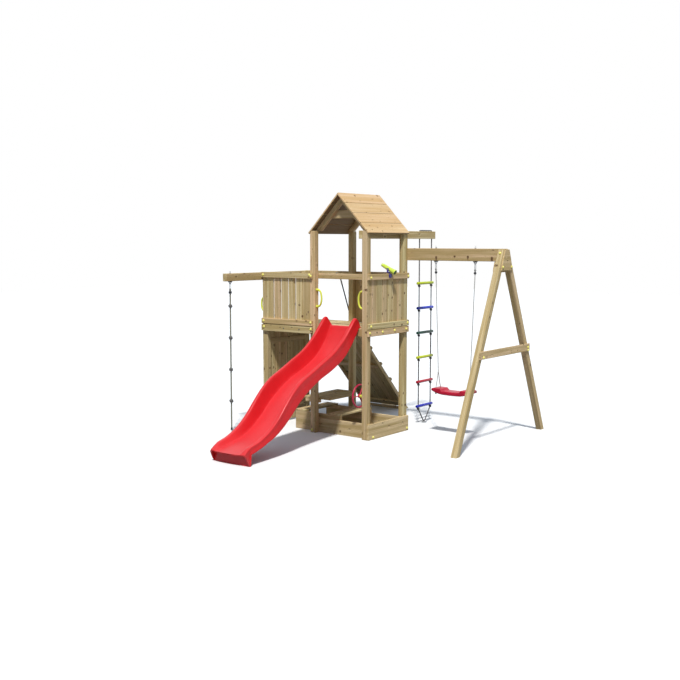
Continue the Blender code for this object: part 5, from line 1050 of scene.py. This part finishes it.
cleatHalf = ramp["cleatWidth"] / 2
settleWood("ramp_deck", boardRow(
    (seam - insideHalf, 0.010, letIn + gap - ramp["board"]),
    (boardStep - insideHalf - seam, 0.010 + rampLength - 0.045 / math.sin(rampAngle), letIn + gap),
    ramp["boards"], (boardStep, 0, 0), 71, matrix=onSlope,
), boardRow(
    (-insideHalf - stringer, ramp["cleatStart"] - cleatHalf, gap),
    (insideHalf + stringer, ramp["cleatStart"] + cleatHalf, gap + ramp["cleatHeight"]),
    ramp["cleats"], (0, ramp["cleatPitch"] / math.cos(rampAngle), 0), 77, 0.004, onSlope,
))

# Plank wall under the annex
wall = dict(
    x=-1.343, thick=0.022, planks=6, spacing=0.004, foot=0.020, top=1.130, batten=0.018,
    battenHeight=0.060, battenIn=0.150,
)
step = (innerRear - innerFront + wall["spacing"]) / wall["planks"]
wallFace = wall["x"] + wall["thick"]
settleWood("wall_left", boardRow(
    (wall["x"], innerFront, wall["foot"]), (wallFace, innerFront + step - wall["spacing"], wall["top"]),
    wall["planks"], (0, step, 0), 83,
), [
    cutBoard(
        (wallFace - letIn, innerFront, height),
        (wallFace + wall["batten"], innerRear, height + wall["battenHeight"]), 0.002,
    ) for height in (wall["battenIn"], wall["top"] - wall["battenIn"])
])

# Picnic table and benches on two cross-beams
picnic = dict(left=-0.808, right=-0.408, top=0.400, thick=0.020, corner=0.200, boards=4, batten=0.025, seam=0.0008)
step = (picnic["right"] - picnic["left"]) / picnic["boards"]
corner = ((picnic["right"], innerRear - picnic["corner"], 0), Vector((1, 1, 0)).normalized())
boards = []
for x in [picnic["left"] + k * step for k in range(picnic["boards"])]:
    cuts = [corner] if x + step > picnic["right"] - picnic["corner"] + 0.001 else []
    boards.append(cutBoard(
        (x + picnic["seam"], innerFront, picnic["top"] - picnic["thick"]),
        (x + step - picnic["seam"], innerRear, picnic["top"]), cuts=cuts,
    ))
for y in (innerFront + gap, innerRear - gap - picnic["batten"]):
    boards.append(cutBoard(
        (picnic["left"] + 0.035, y, 0.340), (picnic["right"] - 0.150, y + picnic["batten"], 0.381), 0.002,
    ))
settleWood("picnic_table", boards)
benches = dict(
    left=-0.943, right=-0.273, width=0.170, top=0.232, thick=0.020, front=-0.0844, rear=0.5144, beam=0.025,
    pace=0.0853, board=0.0847,
)
boards = [
    cutBoard(
        (benches["left"], y, letIn), (benches["right"], y + benches["beam"], benches["top"] - benches["thick"]), 0.002,
    ) for y in (benches["front"], benches["rear"] - benches["beam"])
]
for x in (benches["left"], benches["right"] - benches["width"]):
    for start in (x, x + benches["pace"]):
        boards.append(cutBoard(
            (start, benches["front"] - letIn, benches["top"] - benches["thick"] - letIn),
            (start + benches["board"], benches["rear"] + letIn, benches["top"]),
        ))
settleWood("picnic_benches", boards)
print("ramp, wall and picnic set are in")

# Slide: the moulded channel, with rolled crests and skirts, lofted through close sections. Each line along it is a
# row of (distance ahead of the posts, height).
slideLines = dict(
    bed=((-0.100, 1.2420), (-0.066, 1.2415), (-0.030, 1.185), (0.070, 1.055), (0.200, 0.930), (0.400, 0.820),
         (0.620, 0.733), (0.800, 0.640), (0.960, 0.530), (1.110, 0.397), (1.250, 0.290), (1.400, 0.213),
         (1.600, 0.158), (1.800, 0.118)),
    crest=((-0.100, 1.268), (-0.084, 1.300), (-0.060, 1.330), (-0.034, 1.340), (0.020, 1.298), (0.090, 1.222),
           (0.200, 1.113), (0.360, 0.998), (0.550, 0.907), (0.720, 0.828), (0.900, 0.747), (1.020, 0.662),
           (1.140, 0.548), (1.270, 0.410), (1.400, 0.305), (1.550, 0.228), (1.700, 0.182), (1.800, 0.124)),
    skirt=((-0.100, 1.2324), (-0.066, 1.2324), (-0.040, 1.195), (0.000, 1.139), (0.100, 1.042), (0.208, 0.975),
           (0.358, 0.890), (0.506, 0.812), (0.642, 0.755), (0.791, 0.682), (0.890, 0.616), (0.987, 0.535),
           (1.098, 0.443), (1.177, 0.372), (1.254, 0.308), (1.354, 0.243), (1.481, 0.180), (1.599, 0.140),
           (1.715, 0.112), (1.800, 0.106)),
    outer=0.243, inner=0.150, crestWidth=0.022, crestIn=0.017, wall=0.009, setIn=0.010, splitShare=0.5, reach=1.8,
    footStart=1.700, footLip=1.722, bow=0.028, middle=-0.243,
)
bedAt, crestAt, skirtAt = (partial(splineValue, slideLines[line]) for line in ("bed", "crest", "skirt"))


# Half of the section at a distance ahead, from the middle out along the top and back along the underside
def slideSection(ahead, onGround):
    bed = bedAt(ahead)
    crest = max(crestAt(ahead), bed + 0.004)
    skirt = min(skirtAt(ahead), bed - 0.001)
    if ahead > slideLines["footStart"]:
        skirt *= max(0.0, (ahead - slideLines["footLip"]) / (slideLines["reach"] - slideLines["footLip"]))
    slope = (bedAt(ahead - 0.01) - bedAt(ahead + 0.01)) / 0.02
    wallDrop = slideLines["wall"] * math.hypot(1, slope)
    outer, inner = slideLines["outer"], slideLines["inner"]
    flank = outer - slideLines["setIn"]
    crestOuter = flank - slideLines["crestIn"]
    crestInner = crestOuter - slideLines["crestWidth"]
    rise = crest - bed
    side = crest - skirt
    split = crest - slideLines["splitShare"] * side
    upper = [
        (0.0, bed), (inner * 0.5, bed), (inner - 0.012, bed + 0.004 * rise), (inner - 0.002, bed + 0.05 * rise),
        (inner + 0.008, bed + 0.22 * rise), (crestInner - 0.017, bed + 0.70 * rise),
        (crestInner - 0.008, bed + 0.91 * rise), (crestInner, crest), (crestOuter, crest),
        (flank - 0.003, crest - 0.06 * side), (flank, crest - 0.16 * side),
    ]
    upper = [(p.x, p.z) for p in smoothRoute([(x, 0, z) for x, z in upper], 4)]
    upper += [
        (flank, split + 0.02 * side), (flank + 0.001, split - 0.01 * side), (outer + 0.001, skirt + 0.10 * side),
        (outer + 0.002, skirt + 0.06 * side), (outer + 0.002, skirt),
    ]
    underBed = bed - wallDrop
    ceiling = max(crest - wallDrop, underBed + 0.001)
    lower = [
        (outer - 0.008, skirt), (flank - 0.009, max(split - wallDrop, skirt + 0.0005)), (crestOuter - 0.004, ceiling),
        (crestInner + 0.004, ceiling), (crestInner, max(bed + 0.80 * rise - wallDrop, underBed + 0.0008)),
        (inner + 0.018, max(bed + 0.28 * rise - wallDrop, underBed + 0.0005)),
        (inner + 0.006, underBed + 0.0002), (inner * 0.5, underBed), (0.0, underBed),
    ]
    if onGround:
        lower = [(x, 0.0) for x, _ in lower]
        upper[-1] = (outer + 0.002, 0.0)
    return upper, lower


ahead = [-0.100 + 0.006 * k for k in range(18)] + [0.012 + 0.020 * k for k in range(85)]
stations = [(at, False) for at in ahead if at < slideLines["footStart"]]
stations += [(1.7005, False), (1.712, False), (1.712, True), (1.7219, True), (1.7221, False)]
stations += [(at, False) for at in (1.735, 1.750, 1.765, 1.780, 1.790, 1.800)]
bm = bmesh.new()
rings = []
for ahead, onGround in stations:
    upper, lower = slideSection(ahead, onGround)
    nearTip = max(0.0, (ahead - slideLines["footStart"]) / (slideLines["reach"] - slideLines["footStart"]))
    bow = slideLines["bow"] * nearTip ** 2
    outline = [(-x, z) for x, z in reversed(upper[1:])] + upper + lower + [(-x, z) for x, z in reversed(lower[:-1])]
    rings.append([
        bm.verts.new((slideLines["middle"] + x, front - ahead + bow * (x / slideLines["outer"]) ** 2, z))
        for x, z in outline
    ])
skinRings(bm, rings)
bmesh.ops.remove_doubles(bm, verts=bm.verts, dist=0.00002)
settle(meshObject("slideChannel", bm, slideRed), "frame", "slide_red", "slide")
print("slide is moulded")

# Hanging gear: a plate and a U-shaped eye under the beam, a nut and bolt tip on top, and an oval link
hookGear = dict(
    plateThick=0.004, eyeHalf=0.014, eyeRod=0.004, bolt=0.005, root=0.0044, thread=0.0012, threads=16, drop=0.031,
    linkTop=0.0078, linkHalf=0.012, linkDrop=0.075, linkRod=0.0035,
)


def makeHook(name, node, x, y, beamFoot, beamTop):
    bend = beamFoot - hookGear["drop"] + hookGear["eyeHalf"]
    plateTop = beamFoot - gap
    plateFoot = plateTop - hookGear["plateThick"]
    upright, half = axisMatrix((x, y, 0), (0, 0, 1)), hookGear["eyeHalf"]
    bolt, root = hookGear["bolt"], hookGear["root"]
    thread = [(0.010 + hookGear["thread"] * k, bolt if k % 2 else root) for k in range(hookGear["threads"])]
    parts = [
        turned("plate", [
            (plateFoot - 0.011, 0.017), (plateFoot - 0.008, 0.0205), (plateFoot, 0.0225), (plateFoot, 0.0265),
            (plateFoot + 0.001, 0.028), (plateTop - 0.001, 0.028), (plateTop, 0.0265),
        ], dullZinc, upright),
    ]
    for kind, outline, sides in (
        ("bolt", [(-0.02, bolt)] + thread + [(0.0295, 0.004), (0.030, 0.0)], 20),
        ("washer", [(gap, 0.011), (0.0018, 0.011)], 28),
        ("nut", [(0.0018, 0.009), (0.0026, 0.010), (0.0085, 0.010), (0.0093, 0.009)], 6),
    ):
        parts.append(turned(kind, [(beamTop + along, radius) for along, radius in outline], zinc, upright, sides))
    points = [(x - half, y, plateFoot + 0.002), (x - half, y, bend + 0.001)]
    for a in [math.pi * k / 16 for k in range(17)]:
        points.append((x - half * math.cos(a), y, bend - half * math.sin(a)))
    points += [(x + half, y, bend + 0.001), (x + half, y, plateFoot + 0.002)]
    parts.append(sweep("eye", points, hookGear["eyeRod"], zinc, sides=14))
    settle(joinObjects(name, parts), "frame", "zinc_steel", node)


def makeLink(name, node, body, x, y, pivot):
    half = hookGear["linkHalf"]
    points = []
    for angle in [2 * math.pi * k / 40 for k in range(40)]:
        upperHalf = math.sin(angle) >= -1e-9
        centre = hookGear["linkTop"] - half if upperHalf else hookGear["linkTop"] - hookGear["linkDrop"] + half
        points.append((x, y + half * math.cos(angle), pivot + centre + half * math.sin(angle)))
    settle(sweep(name, points, hookGear["linkRod"], zinc, sides=12, closed=True), body, "zinc_steel", node)


for side, word in ((-1, "Left"), (1, "Right")):
    x = swing["middleX"] + side * swing["hookHalf"]
    makeHook(f"swingHook{word}", f"hook_{word.lower()}", x, swing["y"], 1.969, 2.107)
    makeLink(f"swingLink{word}", f"swing_link_{word.lower()}", "swing", x, swing["y"], swing["pivot"])
makeHook("climbingHook", "climb_hook", climbing["x"], climbing["y"], 1.734, 1.822)
makeLink("climbingLink", "climb_link", "climb_link", climbing["x"], climbing["y"], 1.703)

# Ladder rungs: plastic tubes with rounded ends, and the steel ground anchor
half, thick = ladder["rungLength"] / 2, ladder["rungRadius"]
outline = [(-half, 0.7 * thick), (-half + 0.002, 0.93 * thick), (-half + 0.005, thick)]
outline += [(-along, radius) for along, radius in reversed(outline)]
for k, colour in enumerate(("lime", "blue", "green", "yellow", "crimson", "navy")):
    rungAt = axisMatrix((ladder["x"], ladder["middle"], rungHeights[k]), (0, 1, 0))
    rung = turned(f"rung{k + 1}", outline, rungPlastics[colour], rungAt, 28)
    settle(rung, "frame", "rung_" + {"navy": "blue"}.get(colour, colour), f"rung_{k + 1}")
anchor = turned("ladderAnchor", [
    (0.0, 0.030), (0.009, 0.030), (0.012, 0.027), (0.012, 0.0125), (0.0165, 0.012), (0.018, 0.010),
], zinc, axisMatrix((ladder["x"], ladder["middle"], 0), (0, 0, 1)), 40)
settle(anchor, "frame", "zinc_steel", "ladder_anchor")

# Grab handles: a bowed bar that swells into a foot at each end
handles = dict(
    bar=0.0108, swell=0.0030, bow=0.62,
    flange=((0.0, 0.0150), (0.004, 0.0153), (0.012, 0.0140), (0.016, 0.0110), (0.017, 0.0)),
)
for name, node, face, foot, height, reach, side in (
    ("handleSlideLeft", "handle_slide_left", left + post, 1.450, 0.190, 0.070, 1),
    ("handleSlideRight", "handle_slide_right", right - post, 1.450, 0.190, 0.070, -1),
    ("handleWallFront", "handle_wall_front", annexLeft, 1.372, 0.150, 0.046, -1),
):
    y, start = front + post / 2, face + side * gap
    points, radii = [], []
    for angle in [math.pi * k / 32 for k in range(33)]:
        out = reach * math.sin(angle) ** handles["bow"]
        points.append((start + side * max(out, 0.001), y, foot + height / 2 * (1 - math.cos(angle))))
        radii.append(handles["bar"] + handles["swell"] * (1 - min(1.0, out / (0.6 * reach))) ** 0.5)
    parts = [sweep("bar", points, radii, handleYellow)]
    for z in (foot, foot + height):
        parts.append(turned("flange", handles["flange"], handleYellow, axisMatrix((start, y, z), (side, 0, 0)), 28))
    settle(joinObjects(name, parts), "frame", "handle_yellow", node)

# Telescope: a stepped tube with an open mouth and a black disc inside it that paints the shade in the tube, on
# trunnions in a fork, on a bracket
scope = dict(
    pivot=(0.1698, 0.22, 1.880), tilt=25.5, pin=0.033, pinRadius=0.004, yokeHalf=0.011, floor=-0.0517,
    tube=(
        (-0.106, 0.0165), (-0.1045, 0.018), (-0.086, 0.018), (-0.084, 0.0165), (-0.082, 0.0205), (-0.060, 0.0213),
        (-0.058, 0.0222), (-0.030, 0.0226), (0.030, 0.0230), (0.034, 0.0238), (0.072, 0.0270), (0.074, 0.0270),
        (0.077, 0.0290), (0.090, 0.0290), (0.092, 0.0278), (0.092, 0.0250), (0.047, 0.0190),
    ),
    lens=((0.082, 0.0234), (0.084, 0.0236), (0.085, 0.0)),
    stem=((0.0, 0.0125), (0.004, 0.0125), (0.005, 0.0105), (0.006, 0.009), (0.013, 0.009)),
    bracketAt=(0.1878, 0.22, 1.8045), bracket=(0.011, 0.052, 0.044, 1), bracketRounding=0.004,
)
tilt = math.radians(scope["tilt"])
alongTube = axisMatrix(scope["pivot"], (math.cos(tilt), 0, -math.sin(tilt)))
acrossTube = axisMatrix(scope["pivot"], (0, 1, 0))
settle(joinObjects("telescopeTube", [
    turned("tube", scope["tube"], tubeLime, alongTube, 40),
    turned("pin", [(-scope["pin"], scope["pinRadius"]), (scope["pin"], scope["pinRadius"])], tubeLime, acrossTube, 16),
    # The black disc paints the shade inside the tube's mouth
    turned("lens", scope["lens"], footBlack, alongTube, 40),
]), "telescope_tube", "telescope_lime", "telescope_tube")
stem = turned("stem", [
    (scope["floor"] + along, radius) for along, radius in scope["stem"]
], forkViolet, axisMatrix(scope["pivot"], (0, 0, 1)), 28)
outline = [
    (-0.0313, -0.0397), (0.0313, -0.0397), (0.0313, 0.004), (0.0285, 0.0095), (0.0263, 0.010), (0.0263, -0.0277),
    (0.0203, -0.0337), (-0.0203, -0.0337), (-0.0263, -0.0277), (-0.0263, 0.010), (-0.0285, 0.0095), (-0.0313, 0.004),
]
bm = bmesh.new()
skinRings(bm, [
    [bm.verts.new(Vector(scope["pivot"]) + Vector((x, y, z))) for y, z in outline]
    for x in (-scope["yokeHalf"], scope["yokeHalf"])
])
yoke = meshObject("yoke", bm, forkViolet)
settle(joinObjects("telescopeFork", [yoke, stem]), "telescope_fork", "fork_violet", "telescope_fork")
bm = bmesh.new()
bmesh.ops.create_cube(bm, matrix=Matrix.Translation(scope["bracketAt"]) @ Matrix.Diagonal(scope["bracket"]))
bmesh.ops.bevel(bm, geom=bm.edges[:], offset=scope["bracketRounding"], segments=3, affect="EDGES")
settle(meshObject("telescopeBracket", bm, forkViolet), "frame", "fork_violet")

# Steering wheel on its flanged axle
wheel = dict(
    centre=(0.032, -0.145, 0.481), radius=0.125, rod=0.010, spokes=3, grooves=72, grooveDepth=0.07, axle=0.0867,
    hub=((-0.010, 0.0085), (-0.010, 0.020), (-0.008, 0.022), (0.008, 0.022), (0.010, 0.020), (0.010, 0.0085),
         (-0.010, 0.0085)),
    spoke=((0.018, 0.0105), (0.03, 0.0095), (0.05, 0.0085), (0.08, 0.0085), (0.105, 0.0095), (0.125, 0.0105)),
    mount=((0.0, 0.034), (-0.004, 0.034), (-0.0065, 0.032), (-0.010, 0.020), (-0.044, 0.014), (-0.0444, 0.008),
           (-0.0652, 0.008), (-0.0652, 0.014), (-0.069, 0.014), (-0.0707, 0.012)),
)
centre = Vector(wheel["centre"])
rim = circleRoute(wheel["centre"], wheel["radius"], wheel["grooves"], across=1)
grips = [wheel["rod"] * (1.0 - wheel["grooveDepth"] * (k % 4 == 0)) for k in range(wheel["grooves"])]
parts = [
    sweep("rim", rim, grips, wheelRed, closed=True),
    turned("hub", wheel["hub"], wheelRed, axisMatrix(centre, (1, 0, 0)), 36, bored=True),
]
for k in range(wheel["spokes"]):
    turn = Matrix.Translation(centre) @ Matrix.Rotation(math.pi / 2 + 2 * math.pi * k / wheel["spokes"], 4, "X")
    points = [turn @ Vector((0, 0, z)) for z, _ in wheel["spoke"]]
    parts.append(sweep("spoke", points, [width for _, width in wheel["spoke"]], wheelRed, sides=12, flatten=0.6))
settle(joinObjects("steeringWheel", parts), "steering_wheel", "wheel_red", "steering_wheel")
axleEnd = axisMatrix((wheel["axle"], centre.y, centre.z), (1, 0, 0))
settle(turned("wheelMount", wheel["mount"], handleYellow, axleEnd, 36), "frame", "handle_yellow", "wheel_mount")
print("swing, ladder, handles, telescope and wheel are on")


# Caps over the bolts and screw heads in the boards: (place, way out)
def capsOn(name, spots, radius, height, material, slotName):
    mesh = bpy.data.meshes.new(name)
    mesh.from_pydata([place for place, _ in spots], [], [])
    facing = mesh.attributes.new("facing", "FLOAT_VECTOR", "POINT")
    facing.data.foreach_set("vector", [c for _, way in spots for c in way])
    values = {"Radius": radius, "Height": height, "Sides": 20, "Material": material}
    settle(applyTree(newObject(name, mesh), capTree, values), "frame", slotName)


railFace, sideFace = front - gap - rails["thickness"], right + gap + rails["thickness"]
frontWay, rightWay = (0, -1, 0), (1, 0, 0)
boltSpots = [((x, railFace, z), frontWay) for x, z in (
    (-1.335, 1.796), (-0.612, 1.793), (-0.632, 1.808), (-1.331, 1.256), (-0.617, 1.266), (-1.326, 1.186),
    (-0.613, 1.190),
)]
boltSpots += [((sideFace, y, z), rightWay) for y, z in (
    (-0.137, 1.790), (0.591, 1.790), (-0.136, 1.258), (0.581, 1.257), (-0.158, 1.187), (0.083, 1.186),
    (0.318, 1.187), (0.551, 1.187),
)]
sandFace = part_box("sandbox_right")[1].x
boltSpots += [((sandFace, front + 0.088, 0.026), rightWay), ((sandFace, rear - 0.030, 0.030), rightWay)]
boltSpots.append(((left + 0.025, front, 0.030), frontWay))
for node, places in (
    ("crossbar", ((0.160, 0.980), (1.165, 1.003), (1.172, 0.970))), ("gusset_outer", ((0.548, 1.912), (0.742, 1.912))),
):
    boltSpots += [((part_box(node)[1].x - capRoom, y, z), rightWay) for y, z in places]
legBolt = 2.060
legFace = swing["y"] - aFrame["spread"] + aFrame["lean"] * legBolt
boltSpots.append(((1.366, legFace, legBolt), Vector((0, -1, aFrame["lean"])).normalized()))
capsOn("boltCaps", boltSpots, 0.0150, 0.011, capYellow, "handle_yellow")
screwSpots = [((x, railFace, 1.181), frontWay) for x in (-1.023, -0.787)]
capsOn("joistScrews", screwSpots, 0.0085, 0.004, dullZinc, "zinc_steel")
print("caps are on")
